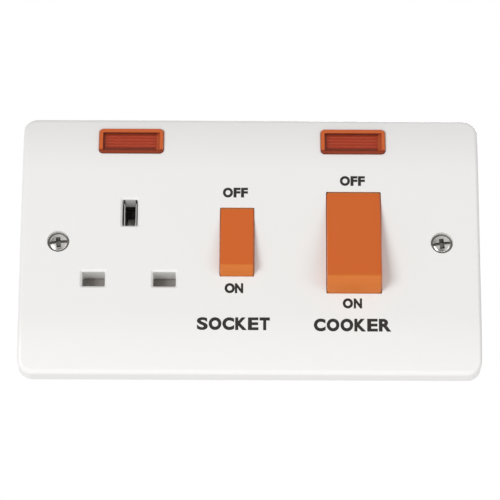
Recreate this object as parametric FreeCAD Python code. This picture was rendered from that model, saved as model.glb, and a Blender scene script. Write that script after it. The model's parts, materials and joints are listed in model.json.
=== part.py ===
import FreeCAD, Part
import math
import os

# A two-gang wall unit: a three-pin switched socket beside a double-pole cooker switch.
# Millimetres. X runs right, Z up and Y back into the wall, whose surface is the plane Y = 0.
# Both switches are drawn OFF: the top of each rocker is in and its bottom stands out.

# Plate
PLATE_DEPTH = 9.0
FACE_T = 2.6
RIM_T = 2.4
CORNER_R = 4.6
EDGE_R = 1.3
CROWN_FLAT_H = 48.0
CROWN_DROP = 2.8
FIX_EDGE = 12.0

# Fixing screws and their bosses
FIX_SCREW_D = 3.5
FIX_SCREW_L = 25.0
FIX_PLAIN_D = 3.1
FIX_PLAIN_L = 8.7
FIX_HEAD_D = 6.2
FIX_HEAD_RISE = 0.45
FIX_HEAD_SINK = 0.8
FIX_MOUTH_GAP = 0.45
FIX_RECESS_W = 0.9
FIX_RECESS_DEPTH = 1.1
FIX_CROSS_L = 4.6
FIX_CROSS_W = 1.4
FIX_HOLE_D = 4.2
FIX_BOSS_D = 8.0
FIX_BOSS_SHORT = 0.5
FIX_BOSS_GAP = 1.3

# Fits
SEAT_FIT = 0.1
SCREW_FIT = 0.05
PIVOT_FIT = 0.08
SLIDE_GAP = 0.3
MOVE_GAP = 0.25
CONTACT_GAP = 0.15

# Socket apertures and the plug pins they take
PIN_PITCH = 22.23
EARTH_Z = 9.85
LINE_W = 7.2
LINE_H = 4.8
EARTH_W = 4.8
EARTH_H = 8.8
APERTURE_R = 0.4
APERTURE_CHAMFER = 0.45
TUBE_WALL = 1.2
TUBE_DEPTH = 7.0
LINE_PIN_T = 4.0
EARTH_PIN_W = 4.0
EARTH_PIN_H = 8.0
EARTH_PIN_L = 22.7
PIN_GRIP = 0.4
PIN_END_GAP = 1.3

# Shutter, its carrier and its spring
SHUTTER_T = 2.4
SHUTTER_TRAVEL = 6.4
SHUTTER_LAP_X = 0.5
SHUTTER_LAP_Z = 0.4
SHUTTER_BODY_W = 11.4
SHUTTER_BODY_TOP = 2.0
SHUTTER_WALL_GAP = 0.285
TONGUE_W = 2.4
TONGUE_T = 2.6
RAMP_RUN = 5.7
CARRIER_T = 2.0
CARRIER_TOP = 17.0
CARRIER_FOOT = -8.0
CARRIER_SPINE_W = 12.8
RAIL_T = 1.2
CARRIER_POST_D = 4.6
CARRIER_POST_X = 12.5
CARRIER_POST_Z = (14.0, -4.5)
SHUTTER_SPRING_D = 3.0
SHUTTER_SPRING_WIRE = 0.5
SHUTTER_SPRING_TURNS = 9
SPRING_HOUSE_W = 6.0
SPRING_HOUSE_T = 3.3
SPRING_FRONT_WALL = 0.5
SPRING_FIT = 0.2
SPRING_ROOF = 1.4
SPRING_HOUSE_LIFT = 2.2
SPRING_SEAT_T = 1.6
SPRING_SEAT_GAP = 0.4
SPRING_SPIGOT_L = 1.5

# Contact clips
CLIP_GAP = 0.5
LEAF_T = 0.8
LINE_CLIP_W = 6.4

# Rockers
PIVOT_DEPTH = 4.5
SOCKET_SWITCH_W = 10.8
SOCKET_SWITCH_H = 23.0
SOCKET_ROCK_ANGLE = 20.0
COOKER_SWITCH_W = 17.3
COOKER_SWITCH_H = 34.0
COOKER_ROCK_ANGLE = 24.0
SKIRT_ANGLE = 100.0
ROCKER_FRONT_T = 2.0
ROCKER_END_T = 1.8
ROCKER_SIDE_T = 1.6
ROCKER_EDGE_R = 0.35
TRUNNION_D = 3.0
TRUNNION_HOLD = 1.8
CHEEK_T = 2.2
CHEEK_H = 10.0
CHEEK_BACK = 3.5

# Plungers and their springs
PLUNGER_D = 3.6
PLUNGER_FIT = 0.15
PLUNGER_REACH = 15.6
TUBE_D = 6.0
TUBE_BEHIND = 4.0
PLUNGER_SPRING_L = 3.2
PLUNGER_SPRING_D = 2.7
PLUNGER_SPRING_WIRE = 0.45
PLUNGER_SPRING_TURNS = 3.5
TIP_GAP = 0.25
POLE_PITCH = 8.5

# Moving contacts and the cradles they rock on
ARM_ANGLE = 8.0
CONTACT_W = 5.0
COOKER_ARM = 10.0
COOKER_CONTACT_T = 2.0
COOKER_CRADLE_R = 1.0
SOCKET_ARM = 8.0
SOCKET_CONTACT_T = 1.4
SOCKET_CRADLE_R = 0.7
GROOVE_FIT = 0.1
CRADLE_H = 6.6
BUTTON_D = 3.2
BUTTON_T = 0.4
BUTTON_INSET = 1.8

# Bars and links
BAR_T = 1.2
BAR_W = 3.6
RISER_W = 2.6
PAD_W = 4.7
TAB_W = 8.0
WEB_CLEAR = 1.6
WEB_ZONE = 2.4
LINK_CLEAR = 2.4
LINK_DROP = 2.0
LINK_LAP = 0.8
EARTH_RUN_Z = 12.8

# Terminals
BLOCK_W = 11.0
BLOCK_D = 11.0
BLOCK_L = 9.6
BLOCK_FIT = 0.2
BLOCK_STOP_T = 1.4
POWER_BORE_D = 5.5
TERMINAL_SCREW_D = 4.5
TERMINAL_PITCH = 17.2
EARTH_BLOCK_W = 9.0
EARTH_BORE_D = 4.2
EARTH_PITCH = 16.0
BORE_FRONT_WALL = 1.85
SCREW_SUNK = 0.4
SCREW_SLOT_W = 0.9
SCREW_SLOT_DEPTH = 1.0

# Base
BASE_WALL = 1.6
BASE_FLOOR = 2.0
BASE_CORNER_R = 3.0
BASE_FRONT = -4.2
POCKET_WALL = 1.4
POCKET_RISE = 9.0
CABLE_GAP = 0.8
DRIVER_HOLE_D = 5.6
POST_D = 7.0
POST_INSET = 4.2
POST_GAP = 0.6
PILLAR_END = 2.0
BARRIER_T = 1.4
BARRIER_FRONT = 4.5
BARRIER_H = 22.0
STOP_H = 2.0
SOCKET_STOP_W = 1.8
HOLD_RIB_T = 1.6
HOLD_RIB_H = 5.0
HOLD_GAP = 0.2
REST_W = 2.0

# Small screws
BASE_SCREW_D = 3.0
BASE_SCREW_L = 12.5
BASE_SCREW_HEAD_D = 4.8
BASE_SCREW_HEAD_T = 1.8
BASE_SCREW_SEAT = 8.0
CARRIER_SCREW_D = 2.2
CARRIER_SCREW_L = 6.0
CARRIER_SCREW_HEAD_D = 3.8
CARRIER_SCREW_HEAD_T = 1.3
SMALL_CROSS_L = 2.6
SMALL_CROSS_W = 0.7

# Neon indicators
LENS_W = 20.4
LENS_H = 8.8
LENS_RISE = 0.8
LENS_R = 1.3
LENS_WALL = 1.2
LENS_FLANGE = 1.3
LENS_FLANGE_T = 1.2
LENS_RIBS = 6
LENS_RIB_DEPTH = 0.4
NEON_POCKET_WALL = 0.8
NEON_BASE_GAP = 0.8
NEON_EDGE = 8.3
NEON_SEAT = 1.0
HOLDER_D = 4.0
HOLDER_WALL = 0.8
LAMP_D = 3.0
LAMP_L = 8.0
LAMP_X = -3.4
RESISTOR_D = 2.2
RESISTOR_L = 5.0
RESISTOR_X = 4.9
LEAD_D = 0.9
LEAD_X = 8.5
LEAD_BEND = 0.95
LEAD_TURN = 2.0
LEAD_NOTCH = 0.3
LEAD_DROP_Z = 20.5

# Spacing across the unit
SOCKET_TO_SWITCH = 33.8
SWITCH_TO_COOKER = 36.7

# Depths in front of and behind the wall plane
FACE_Y = -PLATE_DEPTH
FACE_BACK = FACE_Y + FACE_T
PIVOT_Y = FACE_Y + PIVOT_DEPTH
TUBE_END = FACE_Y + TUBE_DEPTH
SHUTTER_Y = (TUBE_END + SLIDE_GAP, TUBE_END + SLIDE_GAP + SHUTTER_T)
CARRIER_Y = (SHUTTER_Y[1] + SLIDE_GAP, SHUTTER_Y[1] + SLIDE_GAP + CARRIER_T)
CLIP_FRONT = CARRIER_Y[1] + CLIP_GAP


def cradle_depth(contact_t):
    """Y of the line a moving contact rocks on, set by the plunger that presses it."""
    tip_centre = PIVOT_Y + PLUNGER_REACH - PLUNGER_D / 2
    return tip_centre + (PLUNGER_D / 2 + TIP_GAP + contact_t) / math.cos(math.radians(ARM_ANGLE))


COOKER_CRADLE_Y = cradle_depth(COOKER_CONTACT_T)
SOCKET_CRADLE_Y = cradle_depth(SOCKET_CONTACT_T)
FLOOR_Y = COOKER_CRADLE_Y + CRADLE_H
FLOOR_BAR_Y = (FLOOR_Y - BAR_T, FLOOR_Y)
TAB_Y = (FLOOR_Y - BLOCK_D - BAR_T, FLOOR_Y - BLOCK_D)
LINK_Y = (TAB_Y[0] - LINK_CLEAR - BAR_T, TAB_Y[0] - LINK_CLEAR)
COOKER_PAD_Y = (COOKER_CRADLE_Y + CONTACT_GAP + BUTTON_T, COOKER_CRADLE_Y + CONTACT_GAP + BUTTON_T + BAR_T)
SOCKET_PAD_Y = (SOCKET_CRADLE_Y + CONTACT_GAP + BUTTON_T, SOCKET_CRADLE_Y + CONTACT_GAP + BUTTON_T + BAR_T)
EARTH_DEPTH = max(FACE_Y + EARTH_PIN_L + PIN_END_GAP, SOCKET_PAD_Y[1] + SLIDE_GAP)
EARTH_BASE = (EARTH_DEPTH, EARTH_DEPTH + LEAF_T)
EARTH_RUN_Y = (EARTH_BASE[1], EARTH_BASE[1] + BAR_T)
DEEP_LINK_Y = (SOCKET_PAD_Y[1] + LINK_DROP, SOCKET_PAD_Y[1] + LINK_DROP + BAR_T)
BORE_Y = TAB_Y[1] + BORE_FRONT_WALL + POWER_BORE_D / 2

# Heights of the stack from the switch centre out to the plate's edge
WEB_Z = COOKER_ARM + WEB_CLEAR
STOP_Z = WEB_Z + WEB_ZONE
BLOCK_Z = STOP_Z + BLOCK_STOP_T + BLOCK_FIT
BASE_IN_H = BLOCK_Z + BLOCK_L + BLOCK_FIT
BASE_HALF_H = BASE_IN_H + BASE_WALL
FLANGE_W = LENS_W + 2 * LENS_FLANGE
FLANGE_H = LENS_H + 2 * LENS_FLANGE
POCKET_W = FLANGE_W + 2 * (SEAT_FIT + NEON_POCKET_WALL)
POCKET_H = FLANGE_H + 2 * (SEAT_FIT + NEON_POCKET_WALL)
NEON_Z = BASE_HALF_H + NEON_BASE_GAP + POCKET_H / 2
PLATE_H = 2 * (NEON_Z + NEON_EDGE)
CROWN_RUN = (PLATE_H - CROWN_FLAT_H) / 2
CROWN_R = (CROWN_RUN ** 2 + CROWN_DROP ** 2) / (2 * CROWN_DROP)

# Places across the unit, from the base's left inner wall to its right one
SHUTTER_HALF = PIN_PITCH / 2 + LINE_W / 2 + SHUTTER_LAP_X
LEFT_SPAN = SHUTTER_WALL_GAP + SHUTTER_HALF
RIGHT_SPAN = TERMINAL_PITCH / 2 + BLOCK_W / 2 + POST_GAP + POST_D / 2 + POST_INSET - BASE_WALL
BASE_IN_W = LEFT_SPAN + SOCKET_TO_SWITCH + SWITCH_TO_COOKER + RIGHT_SPAN
BASE_HALF_W = BASE_IN_W / 2 + BASE_WALL
SOCKET_X = LEFT_SPAN - BASE_IN_W / 2
SWITCH_X = SOCKET_X + SOCKET_TO_SWITCH
COOKER_X = SWITCH_X + SWITCH_TO_COOKER
FIX_X = BASE_HALF_W + FIX_BOSS_GAP + FIX_BOSS_D / 2
FIX_HEAD_Y = FACE_Y + FIX_HEAD_SINK
PLATE_W = 2 * (FIX_X + FIX_EDGE)
POST_X = BASE_HALF_W - POST_INSET
POST_Z = BASE_HALF_H - POST_INSET
LOW_POST_X = SOCKET_X + SHUTTER_HALF + POST_GAP + POST_D / 2
POSTS = ((-POST_X, POST_Z), (LOW_POST_X, -POST_Z), (POST_X, POST_Z), (POST_X, -POST_Z))
LINE_Z = EARTH_Z - PIN_PITCH
NEUTRAL_X = SOCKET_X - PIN_PITCH / 2
LIVE_X = SOCKET_X + PIN_PITCH / 2
LIVE_POLE_X = COOKER_X - POLE_PITCH / 2
NEUTRAL_POLE_X = COOKER_X + POLE_PITCH / 2
LIVE_TERMINAL_X = COOKER_X - TERMINAL_PITCH / 2
NEUTRAL_TERMINAL_X = COOKER_X + TERMINAL_PITCH / 2
EARTH_TERMINAL_X = (SWITCH_X - EARTH_PITCH / 2, SWITCH_X + EARTH_PITCH / 2)
LINK_Z = (-STOP_Z - BLOCK_STOP_T + LINK_LAP - BAR_W, -STOP_Z - BLOCK_STOP_T + LINK_LAP)
NEON_SEAT_Y = FACE_BACK + NEON_SEAT
LAMP_Y = NEON_SEAT_Y + LENS_FLANGE_T + SEAT_FIT + LAMP_D / 2
BIG = 200.0

Vector = FreeCAD.Vector
X_AXIS = Vector(1, 0, 0)
Y_AXIS = Vector(0, 1, 0)
Z_AXIS = Vector(0, 0, 1)


def block(xs, ys, zs):
    """A box between two X, two Y and two Z values, given in any order."""
    low = Vector(min(xs), min(ys), min(zs))
    return Part.makeBox(abs(xs[1] - xs[0]), abs(ys[1] - ys[0]), abs(zs[1] - zs[0]), low)


def rod_x(xs, y, z, d):
    return Part.makeCylinder(d / 2, xs[1] - xs[0], Vector(xs[0], y, z), X_AXIS)


def rod_y(x, ys, z, d):
    return Part.makeCylinder(d / 2, ys[1] - ys[0], Vector(x, ys[0], z), Y_AXIS)


def rod_z(x, y, zs, d):
    return Part.makeCylinder(d / 2, abs(zs[1] - zs[0]), Vector(x, y, min(zs)), Z_AXIS)


def span(centre, width):
    """The two ends of a width about a centre."""
    return (centre - width / 2, centre + width / 2)


def fuse(shapes):
    return shapes[0].multiFuse(shapes[1:]).removeSplitter()


def rounded_block(xs, ys, zs, r):
    """A box whose four edges along Y are rounded."""
    shape = block(xs, ys, zs)
    edges = [e for e in shape.Edges if abs(e.tangentAt(e.FirstParameter).y) > 0.9]
    return shape.makeFillet(r, edges)


def prism_x(xs, points):
    """A solid with the outline of (Y, Z) points, between two X values."""
    corners = [Vector(xs[0], y, z) for y, z in points]
    face = Part.Face(Part.makePolygon(corners + corners[:1]))
    return face.extrude(Vector(xs[1] - xs[0], 0, 0))


def spring(base, axis, length, d, wire, turns):
    """A helical spring whose outer ends are ground to its length."""
    pitch = (length - wire) / turns
    helix = Part.makeHelix(pitch, pitch * turns, d / 2)
    start = Part.Wire(Part.makeCircle(wire / 2, Vector(d / 2, 0, 0), Y_AXIS))
    coil = Part.Wire(helix).makePipeShell([start], True, True)
    coil.translate(Vector(0, 0, wire / 2))
    coil.Placement = FreeCAD.Placement(base, FreeCAD.Rotation(Z_AXIS, axis)).multiply(coil.Placement)
    return coil


def lead(points, bends):
    """A round wire along straight runs, with an arc of the given radius at each inner point."""
    edges = []
    here = points[0]
    for corner, after, radius in zip(points[1:-1], points[2:], bends):
        along = (corner - here).normalize()
        onward = (after - corner).normalize()
        entry = corner - along * radius
        leave = corner + onward * radius
        middle = corner + (onward - along) * radius * (1 - math.sqrt(0.5))
        edges.append(Part.LineSegment(here, entry).toShape())
        edges.append(Part.Arc(entry, middle, leave).toShape())
        here = leave
    edges.append(Part.LineSegment(here, points[-1]).toShape())
    profile = Part.Wire(Part.makeCircle(LEAD_D / 2, points[0], points[1] - points[0]))
    return Part.Wire(edges).makePipeShell([profile], True, False)


def slotted_screw(x, z, tip_y, head_y, d):
    """A headless terminal screw with a driver slot in its rear end."""
    body = rod_y(x, (tip_y, head_y), z, d)
    slot = block(span(x, d + 1), (head_y - SCREW_SLOT_DEPTH, head_y + 1), span(z, SCREW_SLOT_W))
    return body.cut(slot)


def cheese_screw(x, z, seat_y, length, d, head_d, head_t):
    """A screw driven forward from the rear, with its head behind the seat."""
    shank = rod_y(x, (seat_y - length, seat_y), z, d)
    head = rod_y(x, (seat_y, seat_y + head_t), z, head_d)
    depth = (seat_y + head_t / 2, seat_y + head_t + 1)
    cross = block(span(x, SMALL_CROSS_L), depth, span(z, SMALL_CROSS_W))
    other = block(span(x, SMALL_CROSS_W), depth, span(z, SMALL_CROSS_L))
    return fuse([shank, head]).cut(cross).cut(other)


def rocker_size(height, travel):
    """End radius of a rocker, and how far its flat front stands before the pivot."""
    end_r = math.hypot(height / 2, PIVOT_DEPTH) - MOVE_GAP
    half_face = math.acos(PIVOT_DEPTH / end_r) - math.radians(travel / 2)
    return end_r, end_r * math.cos(half_face)


def rest_turn(shape, travel):
    """Turn a piece from mid travel to OFF, about the rocker's pivot line."""
    turned = shape.copy()
    turned.rotate(Vector(0, PIVOT_Y, 0), X_AXIS, -travel / 2)
    return turned


def rocker(x, width, height, travel, poles):
    end_r, front = rocker_size(height, travel)
    body_w = width - 2 * MOVE_GAP
    back = PIVOT_Y - end_r * math.cos(math.radians(SKIRT_ANGLE))
    outer = rod_x(span(x, body_w), PIVOT_Y, 0, 2 * end_r)
    outer = outer.common(block(span(x, BIG), (PIVOT_Y - front, back), (-BIG, BIG)))
    front_edges = [e for e in outer.Edges if all(abs(v.Y - PIVOT_Y + front) < SCREW_FIT for v in e.Vertexes)]
    outer = outer.makeFillet(ROCKER_EDGE_R, front_edges)
    core = rod_x(span(x, body_w - 2 * ROCKER_SIDE_T), PIVOT_Y, 0, 2 * (end_r - ROCKER_END_T))
    inside = PIVOT_Y - front + ROCKER_FRONT_T
    core = core.common(block(span(x, BIG), (inside, BIG), (-BIG, BIG)))
    trunnions = rod_x(span(x, width + 2 * TRUNNION_HOLD), PIVOT_Y, 0, TRUNNION_D)
    hollow = span(x, body_w - 2 * ROCKER_SIDE_T)
    trunnions = trunnions.cut(block(hollow, (-BIG, BIG), (-BIG, BIG)))
    tubes = [rod_y(p, (inside - SCREW_FIT, PIVOT_Y + TUBE_BEHIND), 0, TUBE_D) for p in poles]
    shape = fuse([outer.cut(core), trunnions] + tubes)
    for p in poles:
        shape = shape.cut(rod_y(p, (inside, BIG), 0, PLUNGER_D + 2 * PLUNGER_FIT))
    return rest_turn(shape, travel)


def plunger(x, height, travel):
    front = rocker_size(height, travel)[1]
    top = PIVOT_Y - front + ROCKER_FRONT_T + PLUNGER_SPRING_L
    tip = PIVOT_Y + PLUNGER_REACH - PLUNGER_D / 2
    ball = Part.makeSphere(PLUNGER_D / 2, Vector(x, tip, 0))
    return rest_turn(fuse([rod_y(x, (top, tip), 0, PLUNGER_D), ball]), travel)


def plunger_spring(x, height, travel):
    front = rocker_size(height, travel)[1]
    base = Vector(x, PIVOT_Y - front + ROCKER_FRONT_T, 0)
    size = (PLUNGER_SPRING_L, PLUNGER_SPRING_D, PLUNGER_SPRING_WIRE, PLUNGER_SPRING_TURNS)
    coil = spring(base, Y_AXIS, *size)
    return rest_turn(coil, travel)


def moving_contact(x, cradle_y, arm, t, cradle_r):
    """Two arms in a shallow V, grooved behind for the cradle, at the OFF place."""
    arms = []
    for way in (1, -1):
        piece = block(span(x, CONTACT_W), (cradle_y - t, cradle_y), (0, way * arm))
        piece.rotate(Vector(x, cradle_y, 0), X_AXIS, way * ARM_ANGLE + ARM_ANGLE)
        arms.append(piece)
    groove = rod_x(span(x, CONTACT_W + 1), cradle_y, 0, 2 * (cradle_r + GROOVE_FIT))
    return fuse(arms).cut(groove)


def cradle(x, cradle_y, cradle_r):
    """The upright, round-topped post that a moving contact rocks on."""
    post = block(span(x, PAD_W), (cradle_y, FLOOR_Y), span(0, 2 * cradle_r))
    return fuse([post, rod_x(span(x, PAD_W), cradle_y, 0, 2 * cradle_r)])


def button(x, pad_y, arm):
    return rod_y(x, (pad_y[0] - BUTTON_T, pad_y[0] + BAR_T / 2), arm - BUTTON_INSET, BUTTON_D)


def aperture(x, z, w, h):
    """A pin aperture through the face, with a chamfered mouth."""
    through = rounded_block(span(x, w), (FACE_Y - 1, TUBE_END + 1), span(z, h), APERTURE_R)
    wires = []
    for y, grow in ((FACE_Y, APERTURE_CHAMFER), (FACE_Y + APERTURE_CHAMFER, 0)):
        xs = span(x, w + 2 * grow)
        zs = span(z, h + 2 * grow)
        corners = [Vector(xs[0], y, zs[0]), Vector(xs[1], y, zs[0]), Vector(xs[1], y, zs[1])]
        corners.append(Vector(xs[0], y, zs[1]))
        wires.append(Part.makePolygon(corners + corners[:1]))
    return fuse([through, Part.makeLoft(wires, True, True)])


def pin_tube(x, z, w, h):
    """The walls behind a pin aperture, kept clear of the base's side."""
    tube = block(span(x, w + 2 * TUBE_WALL), (FACE_BACK, TUBE_END), span(z, h + 2 * TUBE_WALL))
    return tube.common(block(span(0, BASE_IN_W - 2 * SEAT_FIT), (-BIG, BIG), (-BIG, BIG)))


def cheeks(x, width):
    """The pair of ears behind the face that carry a rocker's trunnions."""
    ears = []
    for way in (-1, 1):
        inner = x + way * width / 2
        ys = (FACE_BACK, PIVOT_Y + CHEEK_BACK)
        ears.append(block((inner, inner + way * CHEEK_T), ys, span(0, CHEEK_H)))
    return ears


def hold_ribs():
    """Blades on the plate that keep the terminals and their bars down on the base."""
    ribs = []
    end_r = rocker_size(COOKER_SWITCH_H, COOKER_ROCK_ANGLE)[0]
    low = max(end_r + 2 * MOVE_GAP + HOLD_RIB_T, BASE_IN_H - 1 - HOLD_RIB_H)
    offset = TAB_W / 2 - HOLD_RIB_T
    for x in (LIVE_TERMINAL_X + offset, NEUTRAL_TERMINAL_X - offset):
        for way in (-1, 1):
            zs = (way * low, way * (BASE_IN_H - 1))
            ribs.append(block(span(x, HOLD_RIB_T), (FACE_BACK, TAB_Y[0] - HOLD_GAP), zs))
    for x in EARTH_TERMINAL_X:
        zs = (low, BASE_IN_H - 1)
        ribs.append(block(span(x, HOLD_RIB_T), (FACE_BACK, TAB_Y[0] - HOLD_GAP), zs))
    return ribs


def neon_pocket(x):
    """The block behind the face that holds a lens and its holder."""
    return block(span(x, POCKET_W), (FACE_BACK, LAMP_Y + LEAD_D), span(NEON_Z, POCKET_H))


def neon_room(x):
    """The space inside a neon pocket, with notches for the two leads."""
    zs = span(NEON_Z, FLANGE_H + 2 * SEAT_FIT)
    room = [block(span(x, FLANGE_W + 2 * SEAT_FIT), (NEON_SEAT_Y, BIG), zs)]
    for way in (-1, 1):
        room.append(lead_notch(x + way * LEAD_X, (NEON_Z - POCKET_H / 2 - 1, NEON_Z)))
    return fuse(room)


def lead_notch(x, zs):
    depth = LEAD_D / 2 + LEAD_NOTCH
    return block(span(x, 2 * depth), (LAMP_Y - depth, BIG), zs)


def centred_plate(xs_half, zs_half, ys, r):
    return rounded_block((-xs_half, xs_half), ys, (-zs_half, zs_half), r)


def crown_y(z, inset):
    """Depth of the face, or of a surface this far inside it, at a height."""
    r = CROWN_R - inset
    run = max(abs(z) - CROWN_FLAT_H / 2, 0)
    return FACE_Y + inset + r - math.sqrt(r ** 2 - run ** 2)


def crowned_plate(half_w, half_h, inset, back_y, r):
    """A rounded plate, this far inside the face, that curves back to its top and bottom edges."""
    flat = CROWN_FLAT_H / 2
    reach = half_h + 1
    middle = flat + (CROWN_R - inset) * math.sin(math.asin((reach - flat) / (CROWN_R - inset)) / 2)
    heights = (-reach, -middle, -flat, flat, middle, reach)
    points = [Vector(-half_w - 1, crown_y(z, inset), z) for z in heights]
    low, low_mid, low_end, top_end, top_mid, top = points
    back_low = Vector(-half_w - 1, back_y + 1, -reach)
    back_top = Vector(-half_w - 1, back_y + 1, reach)
    edges = [Part.Arc(low, low_mid, low_end), Part.LineSegment(low_end, top_end)]
    edges += [Part.Arc(top_end, top_mid, top), Part.LineSegment(top, back_top)]
    edges += [Part.LineSegment(back_top, back_low), Part.LineSegment(back_low, low)]
    section = Part.Face(Part.Wire([e.toShape() for e in edges]))
    bar = section.extrude(Vector(2 * half_w + 2, 0, 0))
    return bar.common(centred_plate(half_w, half_h, (FACE_Y - BIG, back_y), r))


def on_outline(edge, half_w, half_h):
    """Whether an edge of the face runs along the plate's outline."""
    middle = edge.CenterOfMass
    return abs(middle.x) > half_w - CORNER_R or abs(middle.z) > half_h - CORNER_R


def front_plate():
    outer = crowned_plate(PLATE_W / 2, PLATE_H / 2, 0, 0, CORNER_R)
    face_edges = [e for e in outer.Edges if all(v.Y < -SCREW_FIT for v in e.Vertexes)]
    outer = outer.makeFillet(EDGE_R, [e for e in face_edges if on_outline(e, PLATE_W / 2, PLATE_H / 2)])
    inner = crowned_plate(PLATE_W / 2 - RIM_T, PLATE_H / 2 - RIM_T, FACE_T, 1, CORNER_R - RIM_T)
    rib = centred_plate(BASE_HALF_W, BASE_HALF_H, (FACE_BACK, BASE_FRONT), BASE_CORNER_R)
    rib = rib.cut(block(span(0, BASE_IN_W), (-BIG, BIG), span(0, 2 * BASE_IN_H)))
    solids = [outer.cut(inner), rib]
    for way in (-1, 1):
        solids.append(rod_y(way * FIX_X, (FACE_BACK, -FIX_BOSS_SHORT), 0, FIX_BOSS_D))
    for x, z in POSTS:
        solids.append(rod_y(x, (FACE_BACK, PILLAR_END), z, POST_D))
    solids.append(pin_tube(NEUTRAL_X, LINE_Z, LINE_W, LINE_H))
    solids.append(pin_tube(LIVE_X, LINE_Z, LINE_W, LINE_H))
    solids.append(pin_tube(SOCKET_X, EARTH_Z, EARTH_W, EARTH_H))
    solids += cheeks(SWITCH_X, SOCKET_SWITCH_W) + cheeks(COOKER_X, COOKER_SWITCH_W)
    solids += [neon_pocket(SOCKET_X), neon_pocket(COOKER_X)] + hold_ribs()
    for x, z in carrier_posts():
        solids.append(rod_y(x, (FACE_BACK, CARRIER_Y[0]), z, CARRIER_POST_D))
    plate = fuse(solids)
    cuts = [aperture(NEUTRAL_X, LINE_Z, LINE_W, LINE_H), aperture(LIVE_X, LINE_Z, LINE_W, LINE_H)]
    cuts.append(aperture(SOCKET_X, EARTH_Z, EARTH_W, EARTH_H))
    switches = [(SWITCH_X, SOCKET_SWITCH_W, SOCKET_SWITCH_H)]
    switches.append((COOKER_X, COOKER_SWITCH_W, COOKER_SWITCH_H))
    for x, w, h in switches:
        cuts.append(rod_x(span(x, w), PIVOT_Y, 0, 2 * math.hypot(h / 2, PIVOT_DEPTH)))
        cuts.append(rod_x(span(x, w + 4 * CHEEK_T), PIVOT_Y, 0, TRUNNION_D + 2 * PIVOT_FIT))
    for x in (SOCKET_X, COOKER_X):
        xs = span(x, LENS_W + 2 * SEAT_FIT)
        zs = span(NEON_Z, LENS_H + 2 * SEAT_FIT)
        cuts.append(rounded_block(xs, (FACE_Y - 1, NEON_SEAT_Y), zs, LENS_R + SEAT_FIT))
        cuts.append(neon_room(x))
    for way in (-1, 1):
        cuts.append(rod_y(way * FIX_X, (FACE_Y - 1, 1), 0, FIX_HOLE_D))
        seat_r = FIX_HEAD_D / 2 + SEAT_FIT
        mouth = Vector(way * FIX_X, FACE_Y, 0)
        cuts.append(Part.makeCone(seat_r + FIX_MOUTH_GAP, seat_r, FIX_HEAD_SINK, mouth, Y_AXIS))
        cuts.append(countersink(way * FIX_X, seat_r, FIX_HOLE_D / 2))
    for x, z in POSTS:
        tip = BASE_SCREW_SEAT - BASE_SCREW_L - SEAT_FIT
        cuts.append(rod_y(x, (tip, PILLAR_END), z, BASE_SCREW_D + 2 * SCREW_FIT))
    for x, z in carrier_posts():
        tip = CARRIER_Y[1] - CARRIER_SCREW_L - SEAT_FIT
        cuts.append(rod_y(x, (tip, CARRIER_Y[0]), z, CARRIER_SCREW_D + 2 * SCREW_FIT))
    return plate.cut(cuts)


def countersink(x, wide_r, narrow_r):
    """A right-angled cone from the rim of a sunk head inwards."""
    return Part.makeCone(wide_r, narrow_r, wide_r - narrow_r, Vector(x, FIX_HEAD_Y, 0), Y_AXIS)


def fixing_screw(x):
    head = countersink(x, FIX_HEAD_D / 2, FIX_PLAIN_D / 2)
    plain = rod_y(x, (FIX_HEAD_Y, FACE_Y + FIX_PLAIN_L), 0, FIX_PLAIN_D)
    thread = rod_y(x, (FACE_Y + FIX_PLAIN_L, FACE_Y + FIX_SCREW_L), 0, FIX_SCREW_D)
    dome_r = (FIX_HEAD_D ** 2 / 4 + FIX_HEAD_RISE ** 2) / (2 * FIX_HEAD_RISE)
    ball = Part.makeSphere(dome_r, Vector(x, FIX_HEAD_Y + dome_r - FIX_HEAD_RISE, 0))
    dome = ball.common(rod_y(x, (FIX_HEAD_Y - FIX_HEAD_RISE - 1, FIX_HEAD_Y), 0, FIX_HEAD_D))
    screw = fuse([head, plain, thread, dome])
    depth = (FIX_HEAD_Y - FIX_HEAD_RISE - 1, FIX_HEAD_Y - FIX_HEAD_RISE + FIX_RECESS_DEPTH)
    slot = block(span(x, FIX_HEAD_D + 1), depth, span(0, FIX_RECESS_W))
    cross = block(span(x, FIX_CROSS_W), depth, span(0, FIX_CROSS_L))
    return screw.cut(slot).cut(cross)


def carrier_posts():
    """Centres of the four posts that the shutter carrier is screwed to."""
    return [(SOCKET_X + way * CARRIER_POST_X, z) for way in (-1, 1) for z in CARRIER_POST_Z]


def blade_span():
    """Heights that a shutter blade covers at rest."""
    return span(LINE_Z, LINE_H + 2 * SHUTTER_LAP_Z)


def spring_line():
    """Y of the shutter spring's axis, and the heights of its seat and of its hole's roof."""
    hole_r = (SHUTTER_SPRING_D + SHUTTER_SPRING_WIRE) / 2 + SPRING_FIT
    y = SHUTTER_Y[0] - SPRING_HOUSE_T + SPRING_FRONT_WALL + hole_r
    seat = SPRING_SEAT_T + SPRING_SEAT_GAP - BASE_IN_H
    roof = SHUTTER_BODY_TOP - SPRING_ROOF - SPRING_HOUSE_T
    return y, seat, roof


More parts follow.
